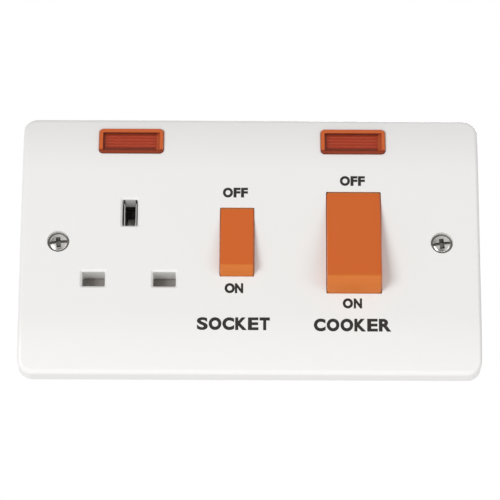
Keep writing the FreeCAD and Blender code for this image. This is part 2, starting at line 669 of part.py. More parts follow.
def safety_shutter():
    low, high = blade_span()
    y, _, roof = spring_line()
    blades = block(span(SOCKET_X, 2 * SHUTTER_HALF), SHUTTER_Y, (low, high))
    body = block(span(SOCKET_X, SHUTTER_BODY_W), SHUTTER_Y, (low, SHUTTER_BODY_TOP))
    house_z = (low + SPRING_HOUSE_LIFT, roof + SPRING_ROOF)
    house = block(span(SOCKET_X, SPRING_HOUSE_W), (SHUTTER_Y[0] - SPRING_HOUSE_T, SHUTTER_Y[0]), house_z)
    foot = EARTH_Z - EARTH_PIN_H / 2 - SEAT_FIT
    top = (SHUTTER_Y[0] + RAMP_RUN, foot + SHUTTER_TRAVEL)
    slope = SHUTTER_TRAVEL / RAMP_RUN
    under = foot + SHUTTER_T * slope - TONGUE_T
    tongue = [(SHUTTER_Y[0], SHUTTER_BODY_TOP - 1), (SHUTTER_Y[0], foot), top]
    tongue += [(top[0] + 1, top[1]), (top[0] + 1, under + (top[0] + 1 - SHUTTER_Y[1]) * slope)]
    tongue += [(SHUTTER_Y[1], under), (SHUTTER_Y[1], SHUTTER_BODY_TOP - 1)]
    shape = fuse([blades, body, house, prism_x(span(SOCKET_X, TONGUE_W), tongue)])
    hole_d = SHUTTER_SPRING_D + SHUTTER_SPRING_WIRE + 2 * SPRING_FIT
    return shape.cut(rod_z(SOCKET_X, y, (low - 1, roof), hole_d))


def shutter_spring():
    y, seat, roof = spring_line()
    base = Vector(SOCKET_X, y, seat)
    return spring(base, Z_AXIS, roof - seat, SHUTTER_SPRING_D, SHUTTER_SPRING_WIRE, SHUTTER_SPRING_TURNS)


def shutter_carrier():
    high = blade_span()[1]
    y, seat, _ = spring_line()
    wide = block(span(SOCKET_X, 2 * SHUTTER_HALF - 2 * SEAT_FIT), CARRIER_Y, (CARRIER_FOOT, CARRIER_TOP))
    spine = block(span(SOCKET_X, CARRIER_SPINE_W), CARRIER_Y, (seat - SPRING_SEAT_T, CARRIER_FOOT))
    lip_front = y - SHUTTER_SPRING_D / 2 - SHUTTER_SPRING_WIRE
    lip = block(span(SOCKET_X, SPRING_HOUSE_W), (lip_front, CARRIER_Y[1]), (seat - SPRING_SEAT_T, seat))
    spigot_d = SHUTTER_SPRING_D - SHUTTER_SPRING_WIRE - 2 * SPRING_FIT
    solids = [wide, spine, lip, rod_z(SOCKET_X, y, (seat, seat + SPRING_SPIGOT_L), spigot_d)]
    for way in (-1, 1):
        inner = SOCKET_X + way * (SHUTTER_BODY_W / 2 + MOVE_GAP)
        zs = (high + SLIDE_GAP, SHUTTER_BODY_TOP + 1)
        solids.append(block((inner, inner + way * RAIL_T), (SHUTTER_Y[0], CARRIER_Y[1]), zs))
    shape = fuse(solids)
    mouth_w = EARTH_W + 2 * SLIDE_GAP
    foot = EARTH_Z - EARTH_PIN_H / 2
    mouth = block(span(SOCKET_X, mouth_w), CARRIER_Y, (foot - 1, EARTH_Z + EARTH_H / 2 + SLIDE_GAP))
    slot_low = foot - SHUTTER_TRAVEL - TONGUE_T + SHUTTER_T * SHUTTER_TRAVEL / RAMP_RUN - 1
    slot = block(span(SOCKET_X, TONGUE_W + 2 * SLIDE_GAP), CARRIER_Y, (slot_low, foot))
    cuts = [mouth, slot]
    for x, z in carrier_posts():
        cuts.append(rod_y(x, CARRIER_Y, z, CARRIER_SCREW_D + 2 * SEAT_FIT))
    return shape.cut(cuts)


def line_clip(x):
    """A U of spring brass that grips a live or neutral pin above and below."""
    inner = LINE_PIN_T / 2 - PIN_GRIP
    outer = inner + LEAF_T
    shape = block(span(x, LINE_CLIP_W), (CLIP_FRONT, SOCKET_PAD_Y[0]), span(LINE_Z, 2 * outer))
    gap_y = (CLIP_FRONT - 1, SOCKET_PAD_Y[0] - LEAF_T)
    gap = block(span(x, LINE_CLIP_W + 1), gap_y, span(LINE_Z, 2 * inner))
    return shape.cut(gap)


def earth_contact():
    inner = EARTH_PIN_W / 2 - PIN_GRIP / 2
    outer = inner + LEAF_T
    zs = span(EARTH_Z, EARTH_PIN_H)
    shape = block(span(SOCKET_X, 2 * outer), (CLIP_FRONT, EARTH_BASE[1]), zs)
    return shape.cut(block(span(SOCKET_X, 2 * inner), (CLIP_FRONT - 1, EARTH_BASE[0]), zs))


def earth_bar():
    """The strap from the earth contact, stepped forward to both earth terminals."""
    zs = span(EARTH_RUN_Z, BAR_W)
    step_x = EARTH_TERMINAL_X[0] - EARTH_BLOCK_W / 2 - BLOCK_FIT - POCKET_WALL - SLIDE_GAP
    last_x = EARTH_TERMINAL_X[1] + BAR_W
    solids = [block((SOCKET_X - BAR_W, step_x), EARTH_RUN_Y, zs)]
    solids.append(block((step_x - BAR_T, step_x), (TAB_Y[0], EARTH_RUN_Y[1]), zs))
    solids.append(block((step_x - BAR_T, last_x), TAB_Y, zs))
    for x in EARTH_TERMINAL_X:
        solids.append(block(span(x, 2 * BAR_W), TAB_Y, (EARTH_RUN_Z, BLOCK_Z + BLOCK_L)))
    return fuse(solids)


def live_switch_link():
    """The strap from the live clip up and across to the socket switch's fixed contact."""
    top = SOCKET_ARM + BAR_T / 2
    low = top - BAR_W
    clip_z = LINE_Z - BUTTON_T
    solids = [block(span(LIVE_X, BAR_W), SOCKET_PAD_Y, (clip_z, top))]
    left_x = SOCKET_X + LEAD_X - LEAD_D
    solids.append(block((left_x, SWITCH_X + PAD_W / 2), SOCKET_PAD_Y, (low, top)))
    solids.append(button(SWITCH_X, SOCKET_PAD_Y, SOCKET_ARM))
    return fuse(solids)


def neutral_link():
    """The strap from the neutral supply across the front of the live parts to the neutral clip."""
    end_x = NEUTRAL_TERMINAL_X - TAB_W / 2
    step_x = EARTH_TERMINAL_X[0]
    left_x = NEUTRAL_X - BAR_W / 2
    solids = [block((end_x, end_x + TAB_W), (TAB_Y[0] - BAR_T, TAB_Y[0]), LINK_Z)]
    solids.append(block((end_x - BAR_T, end_x), (LINK_Y[0], TAB_Y[0]), LINK_Z))
    solids.append(block((step_x, end_x), LINK_Y, LINK_Z))
    solids.append(block((step_x, step_x + BAR_T), (LINK_Y[0], DEEP_LINK_Y[1]), LINK_Z))
    solids.append(block((left_x, step_x + BAR_T), DEEP_LINK_Y, LINK_Z))
    riser_z = (LINK_Z[0], LINE_Z + LINE_PIN_T / 2)
    solids.append(block((left_x, SOCKET_X - LEAD_X + LEAD_D), SOCKET_PAD_Y, riser_z))
    step_z = (LINK_Z[0], LINK_Z[0] + BAR_T)
    solids.append(block(span(NEUTRAL_X, BAR_W), (SOCKET_PAD_Y[0], DEEP_LINK_Y[1]), step_z))
    return fuse(solids)


def supply_bar(terminal_x, pole_x, way):
    """Tab on a supply terminal, step down to the floor, riser and cooker switch cradle."""
    tab = block(span(terminal_x, TAB_W), TAB_Y, (-WEB_Z, -BLOCK_Z - BLOCK_L))
    web = block(span(terminal_x, TAB_W), (TAB_Y[0], FLOOR_Y), (-WEB_Z, -WEB_Z - BAR_T))
    outer_x = terminal_x + way * TAB_W / 2
    inner_x = pole_x - way * (RISER_W - PAD_W / 2)
    run = block((outer_x, inner_x), FLOOR_BAR_Y, (-WEB_Z - BAR_T, -WEB_Z - BAR_T + BAR_W))
    riser = block((pole_x + way * PAD_W / 2, inner_x), FLOOR_BAR_Y, (-WEB_Z, COOKER_CRADLE_R))
    return [tab, web, run, riser, cradle(pole_x, COOKER_CRADLE_Y, COOKER_CRADLE_R)]


def live_supply_bar():
    solids = supply_bar(LIVE_TERMINAL_X, LIVE_POLE_X, -1)
    left_x = SWITCH_X - PAD_W / 2
    zs = (-WEB_Z - BAR_T, -WEB_Z - BAR_T + BAR_W)
    solids.append(block((left_x, LIVE_TERMINAL_X), FLOOR_BAR_Y, zs))
    solids.append(block((left_x, left_x + RISER_W), FLOOR_BAR_Y, (-WEB_Z, SOCKET_CRADLE_R)))
    solids.append(cradle(SWITCH_X, SOCKET_CRADLE_Y, SOCKET_CRADLE_R))
    return fuse(solids)


def load_bar(terminal_x, pole_x, way):
    """Tab on a load terminal, stepped back to the fixed contact of one cooker pole."""
    tab = block(span(terminal_x, TAB_W), TAB_Y, (WEB_Z, BLOCK_Z + BLOCK_L))
    bridge_x = (terminal_x + way * TAB_W / 2, pole_x - way * PAD_W / 2)
    bridge = block(bridge_x, TAB_Y, (WEB_Z, STOP_Z))
    web = block(span(pole_x, PAD_W), (TAB_Y[0], COOKER_PAD_Y[1]), (WEB_Z, WEB_Z + BAR_T))
    pad_low = COOKER_ARM - BUTTON_INSET - BUTTON_D / 2 - SLIDE_GAP
    pad = block(span(pole_x, PAD_W), COOKER_PAD_Y, (pad_low, WEB_Z + BAR_T))
    return fuse([tab, bridge, web, pad, button(pole_x, COOKER_PAD_Y, COOKER_ARM)])


def terminal_block(x, w, way, bore_d):
    shape = block(span(x, w), (TAB_Y[1], FLOOR_Y), (way * BLOCK_Z, way * (BLOCK_Z + BLOCK_L)))
    bore = rod_z(x, BORE_Y, (way * (BLOCK_Z - 1), way * (BLOCK_Z + BLOCK_L + 1)), bore_d)
    z = way * (BLOCK_Z + BLOCK_L / 2)
    return shape.cut(bore).cut(rod_y(x, (BORE_Y, FLOOR_Y), z, TERMINAL_SCREW_D + 2 * SCREW_FIT))


def terminal_screw(x, way, bore_d):
    tip = BORE_Y + bore_d / 2
    return slotted_screw(x, way * (BLOCK_Z + BLOCK_L / 2), tip, FLOOR_Y - SCREW_SUNK, TERMINAL_SCREW_D)


def terminal_pocket(x, w, way):
    """Walls on the base that keep one terminal in place."""
    half = w / 2 + BLOCK_FIT
    ys = (FLOOR_Y - POCKET_RISE, FLOOR_Y)
    walls = []
    for side in (-1, 1):
        inner = x + side * half
        walls.append(block((inner, inner + side * POCKET_WALL), ys, (way * STOP_Z, way * BASE_IN_H)))
    walls.append(block(span(x, 2 * half), (BORE_Y, FLOOR_Y), (way * STOP_Z, way * (STOP_Z + BLOCK_STOP_T))))
    return walls


def terminal_openings(x, way, bore_d):
    """The cable window in the base wall and the driver hole in its floor."""
    size = bore_d + 2 * CABLE_GAP
    zs = (way * (BASE_IN_H - SEAT_FIT), way * (BASE_HALF_H + 1))
    window = block(span(x, size), span(BORE_Y, size), zs)
    hole = rod_y(x, (FLOOR_Y, FLOOR_Y + BASE_FLOOR + 1), way * (BLOCK_Z + BLOCK_L / 2), DRIVER_HOLE_D)
    return [window, hole]


def terminals():
    """Every terminal as place, width, side of the unit and bore."""
    pair = (LIVE_TERMINAL_X, NEUTRAL_TERMINAL_X)
    power = [(x, BLOCK_W, way, POWER_BORE_D) for way in (-1, 1) for x in pair]
    return power + [(x, EARTH_BLOCK_W, 1, EARTH_BORE_D) for x in EARTH_TERMINAL_X]


def rests():
    """Posts on the base floor that carry the bars standing clear of it."""
    posts = [(NEUTRAL_X, LINE_Z, SOCKET_PAD_Y[1]), (LIVE_X, LINE_Z, SOCKET_PAD_Y[1])]
    posts.append((SWITCH_X, SOCKET_ARM - BUTTON_INSET, SOCKET_PAD_Y[1]))
    posts.append((SOCKET_X, EARTH_RUN_Z, EARTH_RUN_Y[1]))
    posts.append((LIVE_X, sum(LINK_Z) / 2, DEEP_LINK_Y[1]))
    posts += [(x, COOKER_ARM - BUTTON_INSET, COOKER_PAD_Y[1]) for x in (LIVE_POLE_X, NEUTRAL_POLE_X)]
    return [block(span(x, REST_W), (y, FLOOR_Y), span(z, REST_W)) for x, z, y in posts]


def contact_stops():
    """Posts that the lower arm of each moving contact lies on when OFF."""
    stops = []
    low = BUTTON_INSET + STOP_H / 2
    for x, way in ((LIVE_POLE_X, 1), (NEUTRAL_POLE_X, -1)):
        xs = (COOKER_X, x + way * (PAD_W / 2 - REST_W / 2))
        stops.append(block(xs, (COOKER_CRADLE_Y + CONTACT_GAP, FLOOR_Y), span(low - COOKER_ARM, STOP_H)))
    xs = (SWITCH_X + PAD_W / 2 - SOCKET_STOP_W, SWITCH_X + PAD_W / 2)
    stops.append(block(xs, (SOCKET_CRADLE_Y + CONTACT_GAP, FLOOR_Y), span(low - SOCKET_ARM, STOP_H)))
    return stops


def rear_base():
    floor_back = FLOOR_Y + BASE_FLOOR
    outer = centred_plate(BASE_HALF_W, BASE_HALF_H, (BASE_FRONT, floor_back), BASE_CORNER_R)
    inner_r = BASE_CORNER_R - BASE_WALL
    inner = centred_plate(BASE_IN_W / 2, BASE_IN_H, (BASE_FRONT - 1, FLOOR_Y), inner_r)
    solids = [outer.cut(inner)]
    for x, w, way, bore_d in terminals():
        solids += terminal_pocket(x, w, way)
    barrier = block(span(COOKER_X, BARRIER_T), (BARRIER_FRONT, FLOOR_Y), span(0, BARRIER_H))
    solids += [barrier] + rests() + contact_stops()
    for x, z in POSTS:
        solids.append(rod_y(x, (PILLAR_END, FLOOR_Y), z, POST_D))
    cuts = []
    for x, z in POSTS:
        cuts.append(rod_y(x, (BASE_FRONT - 1, PILLAR_END), z, POST_D + 2 * SEAT_FIT))
        cuts.append(rod_y(x, (PILLAR_END - 1, BASE_SCREW_SEAT + 1), z, BASE_SCREW_D + 2 * SEAT_FIT))
        cuts.append(rod_y(x, (BASE_SCREW_SEAT, floor_back + 1), z, BASE_SCREW_HEAD_D + 2 * SLIDE_GAP))
    for x, w, way, bore_d in terminals():
        cuts += terminal_openings(x, way, bore_d)
    depth = LEAD_D / 2 + LEAD_NOTCH
    for centre in (SOCKET_X, COOKER_X):
        for way in (-1, 1):
            xs = span(centre + way * LEAD_X, 2 * depth)
            cuts.append(block(xs, (BASE_FRONT - 1, LAMP_Y + depth), (BASE_IN_H - 1, BASE_HALF_H + 1)))
    return fuse(solids).cut(cuts)


def base_screws():
    size = (BASE_SCREW_L, BASE_SCREW_D, BASE_SCREW_HEAD_D, BASE_SCREW_HEAD_T)
    screws = [cheese_screw(x, z, BASE_SCREW_SEAT, *size) for x, z in POSTS]
    return Part.makeCompound(screws)


def carrier_screws():
    size = (CARRIER_SCREW_L, CARRIER_SCREW_D, CARRIER_SCREW_HEAD_D, CARRIER_SCREW_HEAD_T)
    screws = [cheese_screw(x, z, CARRIER_Y[1], *size) for x, z in carrier_posts()]
    return Part.makeCompound(screws)


def neon_lens(x):
    """A hollow lens that follows the face, with a flange behind it and fine ribs inside its front."""
    body = rounded_block(span(x, LENS_W), (FACE_Y - BIG, NEON_SEAT_Y), span(NEON_Z, LENS_H), LENS_R)
    body = body.common(crowned_plate(PLATE_W / 2, PLATE_H / 2, -LENS_RISE, 0, CORNER_R))
    edges = [e for e in body.Edges if all(v.Y < NEON_SEAT_Y - SCREW_FIT for v in e.Vertexes)]
    body = body.makeFillet(ROCKER_EDGE_R, edges)
    flange = block(span(x, FLANGE_W), (NEON_SEAT_Y, NEON_SEAT_Y + LENS_FLANGE_T), span(NEON_Z, FLANGE_H))
    xs = span(x, LENS_W - 2 * LENS_WALL)
    zs = span(NEON_Z, LENS_H - 2 * LENS_WALL)
    front = crown_y(zs[1], -LENS_RISE) + LENS_WALL
    shape = fuse([body, flange]).cut(block(xs, (front, BIG), zs))
    pitch = (zs[1] - zs[0]) / LENS_RIBS
    ys = (front - LENS_RIB_DEPTH, front)
    for i in range(LENS_RIBS):
        z = zs[0] + (i + 0.5) * pitch
        shape = shape.cut(block(xs, ys, span(z, pitch / 2)))
    return shape


def neon_holder(x):
    """The tray behind a lens, with a saddle under the lamp and slots for the leads."""
    front = NEON_SEAT_Y + LENS_FLANGE_T
    back = front + HOLDER_D
    shape = block(span(x, FLANGE_W), (front, back), span(NEON_Z, FLANGE_H))
    inside_w = FLANGE_W - 2 * HOLDER_WALL
    inside_h = FLANGE_H - 2 * HOLDER_WALL
    shape = shape.cut(block(span(x, inside_w), (front, back - HOLDER_WALL), span(NEON_Z, inside_h)))
    saddle = block(span(x + LAMP_X, LAMP_L / 2), (LAMP_Y, back - HOLDER_WALL / 2), span(NEON_Z, inside_h))
    saddle = saddle.cut(rod_x(span(x + LAMP_X, LAMP_L), LAMP_Y, NEON_Z, LAMP_D + 2 * SEAT_FIT))
    shape = fuse([shape, saddle])
    depth = LEAD_D / 2 + LEAD_NOTCH
    for way in (-1, 1):
        xs = span(x + way * LEAD_X, 2 * depth)
        shape = shape.cut(block(xs, (front, LAMP_Y + depth), (NEON_Z - FLANGE_H / 2, NEON_Z - inside_h / 2)))
    return shape


def neon_lamp(x):
    """A sealed glass bulb with a rounded end."""
    left, right = span(x + LAMP_X, LAMP_L)
    tube = rod_x((left, right - LAMP_D / 4), LAMP_Y, NEON_Z, LAMP_D)
    tip = rod_x((right - LAMP_D / 4, right), LAMP_Y, NEON_Z, LAMP_D / 2)
    return fuse([tube, tip])


def neon_resistor(x):
    """The series resistor with the wire that joins it to the lamp."""
    left, right = span(x + RESISTOR_X, RESISTOR_L)
    body = rod_x((left, right), LAMP_Y, NEON_Z, RESISTOR_D)
    return fuse([body, rod_x((x + LAMP_X + LAMP_L / 2, left), LAMP_Y, NEON_Z, LEAD_D)])


def neon_leads():
    """The two leads of each neon, from the lamp or resistor to the bar each one ends on."""
    left_end = LAMP_X - LAMP_L / 2
    right_end = RESISTOR_X + RESISTOR_L / 2
    pad_mid = sum(SOCKET_PAD_Y) / 2
    drops = {
        "socket_neon_live_lead": (SOCKET_X, 1, right_end, SOCKET_ARM + BAR_T / 2),
        "socket_neon_neutral_lead": (SOCKET_X, -1, left_end, LINE_Z + LINE_PIN_T / 2),
    }
    leads = {}
    for name, (x, way, start, end_z) in drops.items():
        points = [Vector(x + start, LAMP_Y, NEON_Z), Vector(x + way * LEAD_X, LAMP_Y, NEON_Z)]
        points.append(Vector(x + way * LEAD_X, LAMP_Y, LEAD_DROP_Z))
        points.append(Vector(x + way * LEAD_X, pad_mid, LEAD_DROP_Z))
        points.append(Vector(x + way * LEAD_X, pad_mid, end_z))
        leads[name] = lead(points, (LEAD_BEND, LEAD_TURN, LEAD_TURN))
    sides = [("cooker_neon_live_lead", -1, left_end), ("cooker_neon_neutral_lead", 1, right_end)]
    for name, way, start in sides:
        x = COOKER_X + way * LEAD_X
        points = [Vector(COOKER_X + start, LAMP_Y, NEON_Z), Vector(x, LAMP_Y, NEON_Z)]
        points += [Vector(x, LAMP_Y, LEAD_DROP_Z), Vector(x, TAB_Y[0], LEAD_DROP_Z)]
        leads[name] = lead(points, (LEAD_BEND, LEAD_TURN))
    return leads


def build():
    nodes = {"front_plate": front_plate(), "rear_base": rear_base()}
    nodes["fixing_screws"] = Part.makeCompound([fixing_screw(-FIX_X), fixing_screw(FIX_X)])
    nodes["base_screws"] = base_screws()
    nodes["carrier_screws"] = carrier_screws()
    nodes["shutter_carrier"] = shutter_carrier()
    nodes["safety_shutter"] = safety_shutter()
    nodes["shutter_spring"] = shutter_spring()
    nodes["live_socket_contact"] = line_clip(LIVE_X)
    nodes["neutral_socket_contact"] = line_clip(NEUTRAL_X)
    nodes["earth_contact"] = earth_contact()
    nodes["earth_bar"] = earth_bar()
    nodes["live_switch_link"] = live_switch_link()
    nodes["neutral_link"] = neutral_link()
    nodes["live_supply_bar"] = live_supply_bar()
    nodes["neutral_supply_bar"] = fuse(supply_bar(NEUTRAL_TERMINAL_X, NEUTRAL_POLE_X, 1))
    nodes["live_load_bar"] = load_bar(LIVE_TERMINAL_X, LIVE_POLE_X, -1)
    nodes["neutral_load_bar"] = load_bar(NEUTRAL_TERMINAL_X, NEUTRAL_POLE_X, 1)
    names = ("live_supply_terminal", "neutral_supply_terminal")
    names += ("live_load_terminal", "neutral_load_terminal")
    names += ("left_earth_terminal", "right_earth_terminal")
    screws = {"power_terminal_screws": [], "earth_terminal_screws": []}
    for name, (x, w, way, bore_d) in zip(names, terminals()):
        nodes[name] = terminal_block(x, w, way, bore_d)
        group = "earth_terminal_screws" if "earth" in name else "power_terminal_screws"
        screws[group].append(terminal_screw(x, way, bore_d))
    for group, solids in screws.items():
        nodes[group] = Part.makeCompound(solids)
    socket = (SOCKET_SWITCH_H, SOCKET_ROCK_ANGLE)
    cooker = (COOKER_SWITCH_H, COOKER_ROCK_ANGLE)
    nodes["socket_rocker"] = rocker(SWITCH_X, SOCKET_SWITCH_W, *socket, (SWITCH_X,))
    nodes["cooker_rocker"] = rocker(COOKER_X, COOKER_SWITCH_W, *cooker, (LIVE_POLE_X, NEUTRAL_POLE_X))
    socket_contact = (SOCKET_CRADLE_Y, SOCKET_ARM, SOCKET_CONTACT_T, SOCKET_CRADLE_R)
    cooker_contact = (COOKER_CRADLE_Y, COOKER_ARM, COOKER_CONTACT_T, COOKER_CRADLE_R)
    poles = [("socket", SWITCH_X, socket, socket_contact)]
    poles.append(("cooker_live", LIVE_POLE_X, cooker, cooker_contact))
    poles.append(("cooker_neutral", NEUTRAL_POLE_X, cooker, cooker_contact))
    for name, x, switch, contact in poles:
        nodes[name + "_plunger"] = plunger(x, *switch)
        nodes[name + "_plunger_spring"] = plunger_spring(x, *switch)
        nodes[name + "_moving_contact"] = moving_contact(x, *contact)
    for name, x in (("socket", SOCKET_X), ("cooker", COOKER_X)):
        nodes[name + "_neon_lens"] = neon_lens(x)
        nodes[name + "_neon_holder"] = neon_holder(x)
        nodes[name + "_neon_lamp"] = neon_lamp(x)
        nodes[name + "_neon_resistor"] = neon_resistor(x)
    nodes.update(neon_leads())
    return nodes


os.makedirs("parts", exist_ok=True)
for node, shape in build().items():
    shape.exportStep("parts/" + node + ".step")
    print(node, len(shape.Solids), "solids,", round(shape.Volume, 1), "mm3")
print("plate", round(PLATE_W, 3), "x", round(PLATE_H, 3), "fixings", round(2 * FIX_X, 3))
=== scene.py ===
import bmesh
import bpy
import json
import math
from mathutils import Matrix, Vector


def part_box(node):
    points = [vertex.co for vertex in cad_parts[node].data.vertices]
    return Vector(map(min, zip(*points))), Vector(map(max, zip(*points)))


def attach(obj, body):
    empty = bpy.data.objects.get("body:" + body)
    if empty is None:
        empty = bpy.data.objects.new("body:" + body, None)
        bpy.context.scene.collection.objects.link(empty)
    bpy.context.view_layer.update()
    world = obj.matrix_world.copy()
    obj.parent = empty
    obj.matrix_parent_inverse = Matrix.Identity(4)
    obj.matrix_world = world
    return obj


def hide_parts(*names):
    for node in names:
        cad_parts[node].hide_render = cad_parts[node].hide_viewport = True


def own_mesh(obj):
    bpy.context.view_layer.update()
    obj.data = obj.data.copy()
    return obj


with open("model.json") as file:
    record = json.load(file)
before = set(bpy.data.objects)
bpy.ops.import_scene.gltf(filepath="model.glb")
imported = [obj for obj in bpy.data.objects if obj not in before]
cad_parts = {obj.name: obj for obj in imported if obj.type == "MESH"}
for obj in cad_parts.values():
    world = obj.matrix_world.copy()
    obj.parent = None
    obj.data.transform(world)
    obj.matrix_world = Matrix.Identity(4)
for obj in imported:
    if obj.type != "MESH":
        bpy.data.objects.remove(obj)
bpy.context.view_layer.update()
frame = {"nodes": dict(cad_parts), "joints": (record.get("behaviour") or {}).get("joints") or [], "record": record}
mm = 0.001
skin = 0.01  # mm behind a surface that still counts as on it
touch = {"merge": 1e-7, "fine": 1e-8, "back": 1e-6}  # metres within which places count as one
straight = 0.999  # cosine from which a face looks straight along an axis
print("frame loaded,", len(frame["nodes"]), "nodes")


# shader maths on sockets
class Sock:
    def __init__(self, tree, socket):
        self.tree = tree
        self.socket = socket

    def node(self, kind, settings=None, inputs=None, out=0):
        made = self.tree.nodes.new(kind)
        for name, value in (settings or {}).items():
            if name == "stops":
                setStops(made.color_ramp, value)
            else:
                setattr(made, name, value)
        for name, value in (inputs or {}).items():
            if isinstance(value, Sock):
                self.tree.links.new(value.socket, made.inputs[name])
            else:
                made.inputs[name].default_value = value
        return Sock(self.tree, made.outputs[out])

    def maths(self, operation, a, b):
        return self.node("ShaderNodeMath", {"operation": operation}, {0: a, 1: b})

    def __add__(self, other):
        return self.maths("ADD", self, other)

    def __radd__(self, other):
        return self.maths("ADD", other, self)

    def __sub__(self, other):
        return self.maths("SUBTRACT", self, other)

    def __rsub__(self, other):
        return self.maths("SUBTRACT", other, self)

    def __mul__(self, other):
        return self.maths("MULTIPLY", self, other)

    def __rmul__(self, other):
        return self.maths("MULTIPLY", other, self)

    def __gt__(self, other):
        return self.maths("GREATER_THAN", self, other)

    def __lt__(self, other):
        return self.maths("LESS_THAN", self, other)

    def mix(self, low, high):
        # self is the factor between two colours
        inputs = {"Factor": self, 6: low, 7: high}
        return self.node("ShaderNodeMix", {"data_type": "RGBA"}, inputs, 2)

    def noise(self, scale, detail=2.0, rough=0.5):
        inputs = {"Vector": self, "Scale": scale, "Detail": detail, "Roughness": rough}
        return self.node("ShaderNodeTexNoise", None, inputs)

    def ramp(self, stops):
        return self.node("ShaderNodeValToRGB", {"stops": stops}, {"Fac": self})


def setStops(ramp, stops):
    while len(ramp.elements) > 1:
        ramp.elements.remove(ramp.elements[-1])
    for i, (place, colour) in enumerate(stops):
        stop = ramp.elements[0] if i == 0 else ramp.elements.new(place)
        stop.position = place
        stop.color = colour


def rgb(r, g, b):
    # a colour picked in the usual 0 to 255 scale, as light
    out = []
    for part in (r, g, b):
        part = part / 255
        out.append(part / 12.92 if part <= 0.04045 else ((part + 0.055) / 1.055) ** 2.4)
    return (out[0], out[1], out[2], 1.0)


def shade(colour, factor):
    return (colour[0] * factor, colour[1] * factor, colour[2] * factor, 1.0)


def newMaterial(name, fixed):
    material = bpy.data.materials.new(name)
    material.use_nodes = True
    tree = material.node_tree
    shader = tree.nodes["Principled BSDF"]
    for socket, value in fixed.items():
        shader.inputs[socket].default_value = value
    place = tree.nodes.new("ShaderNodeTexCoord")
    return material, shader, Sock(tree, place.outputs["Object"])


def link(shader, socket, value):
    value.tree.links.new(value.socket, shader.inputs[socket])


def polish(shader, noise, low, spread):
    # uneven polish, from low to low + spread
    link(shader, "Roughness", noise * spread + low)


def bump(shader, height, strength, distance):
    inputs = {"Strength": strength, "Distance": distance, "Height": height}
    link(shader, "Normal", height.node("ShaderNodeBump", None, inputs))


def moulded(name, colour, rough, grain, fleck=0.02, gloss=0.5):
    # moulded plastic: slow tone drift, fine eroded grain, uneven polish
    driftShare, grainShare = 0.7, 0.3
    material, shader, place = newMaterial(name, {"IOR": 1.5, "Specular IOR Level": gloss})
    drift = place.noise(scale=38.0, detail=3.0)
    fine = place.noise(scale=2600.0)
    tone = drift * driftShare + fine * grainShare
    link(shader, "Base Color", tone.mix(shade(colour, 1 - fleck), shade(colour, 1 + fleck)))
    polish(shader, place.noise(scale=150.0, detail=3.0), low=rough - 0.05, spread=0.10)
    bump(shader, fine, strength=grain, distance=0.00002)
    return material


def plated(name, colour, rough, tarnish, lines=(1.0, 1.0, 1.0)):
    # metal: fine drawn or turned lines, faint tarnish, uneven polish
    material, shader, place = newMaterial(name, {"Metallic": 1.0})
    cloud = place.noise(scale=420.0, detail=4.0, rough=0.6)
    link(shader, "Base Color", cloud.mix(shade(colour, 1 - tarnish), colour))
    polish(shader, place.noise(scale=900.0, detail=3.0), low=rough - 0.06, spread=0.16)
    stretched = place.node("ShaderNodeMapping", None, {"Vector": place, "Scale": lines})
    bump(shader, stretched.noise(scale=900.0), strength=0.25, distance=0.00003)
    return material


def printInk():
    material, shader, place = newMaterial("print_ink", {"IOR": 1.45})
    grain = place.noise(scale=1800.0, detail=3.0)
    link(shader, "Base Color", grain.mix(rgb(28, 24, 21), rgb(40, 35, 31)))
    polish(shader, grain, low=0.42, spread=0.15)
    return material


def lensFront(name, colour, alpha, rough=0.15, gloss=0.5):
    fixed = {"IOR": 1.5, "Specular IOR Level": gloss, "Roughness": rough, "Alpha": alpha}
    fleck = 0.06
    material, shader, place = newMaterial(name, fixed)
    cloud = place.noise(scale=500.0, detail=3.0)
    link(shader, "Base Color", cloud.mix(shade(colour, 1 - fleck), shade(colour, 1 + fleck)))
    bump(shader, place.noise(scale=700.0), strength=0.12, distance=0.00004)
    return material


def lampGlass():
    material, shader, place = newMaterial("lamp_glass", {"IOR": 1.47, "Transmission Weight": 0.85})
    smoke = place.noise(scale=600.0)
    link(shader, "Base Color", smoke.mix((0.82, 0.76, 0.70, 1.0), (0.93, 0.90, 0.86, 1.0)))
    polish(shader, smoke, low=0.03, spread=0.08)
    return material


# painted rings by where each starts along the body, from 0 to 1
resistor = {"length": 5.0, "lacquer": rgb(196, 164, 112), "ring": 0.08, "soft": 0.01,
            "rings": [(0.21, rgb(190, 60, 40)), (0.42, rgb(120, 70, 40)), (0.63, rgb(225, 190, 60))]}


def resistorBody(centres):
    # lacquered body with painted rings, centred on each resistor
    material, shader, place = newMaterial("resistor_body", {"IOR": 1.5})
    along = place.node("ShaderNodeSeparateXYZ", None, {0: place})
    isSecond = along > (centres[0] + centres[1]) / 2
    local = along - (isSecond * (centres[1] - centres[0]) + centres[0])
    lacquer, soft = resistor["lacquer"], resistor["soft"]
    stops = [(0.0, lacquer)]
    for start, colour in resistor["rings"]:
        end = start + resistor["ring"]
        stops += [(start - soft, lacquer), (start, colour), (end, colour), (end + soft, lacquer)]
    rings = (local * (1 / (resistor["length"] * mm)) + 0.5).ramp(stops)
    link(shader, "Base Color", rings)
    polish(shader, place.noise(scale=700.0), low=0.35, spread=0.1)
    return material


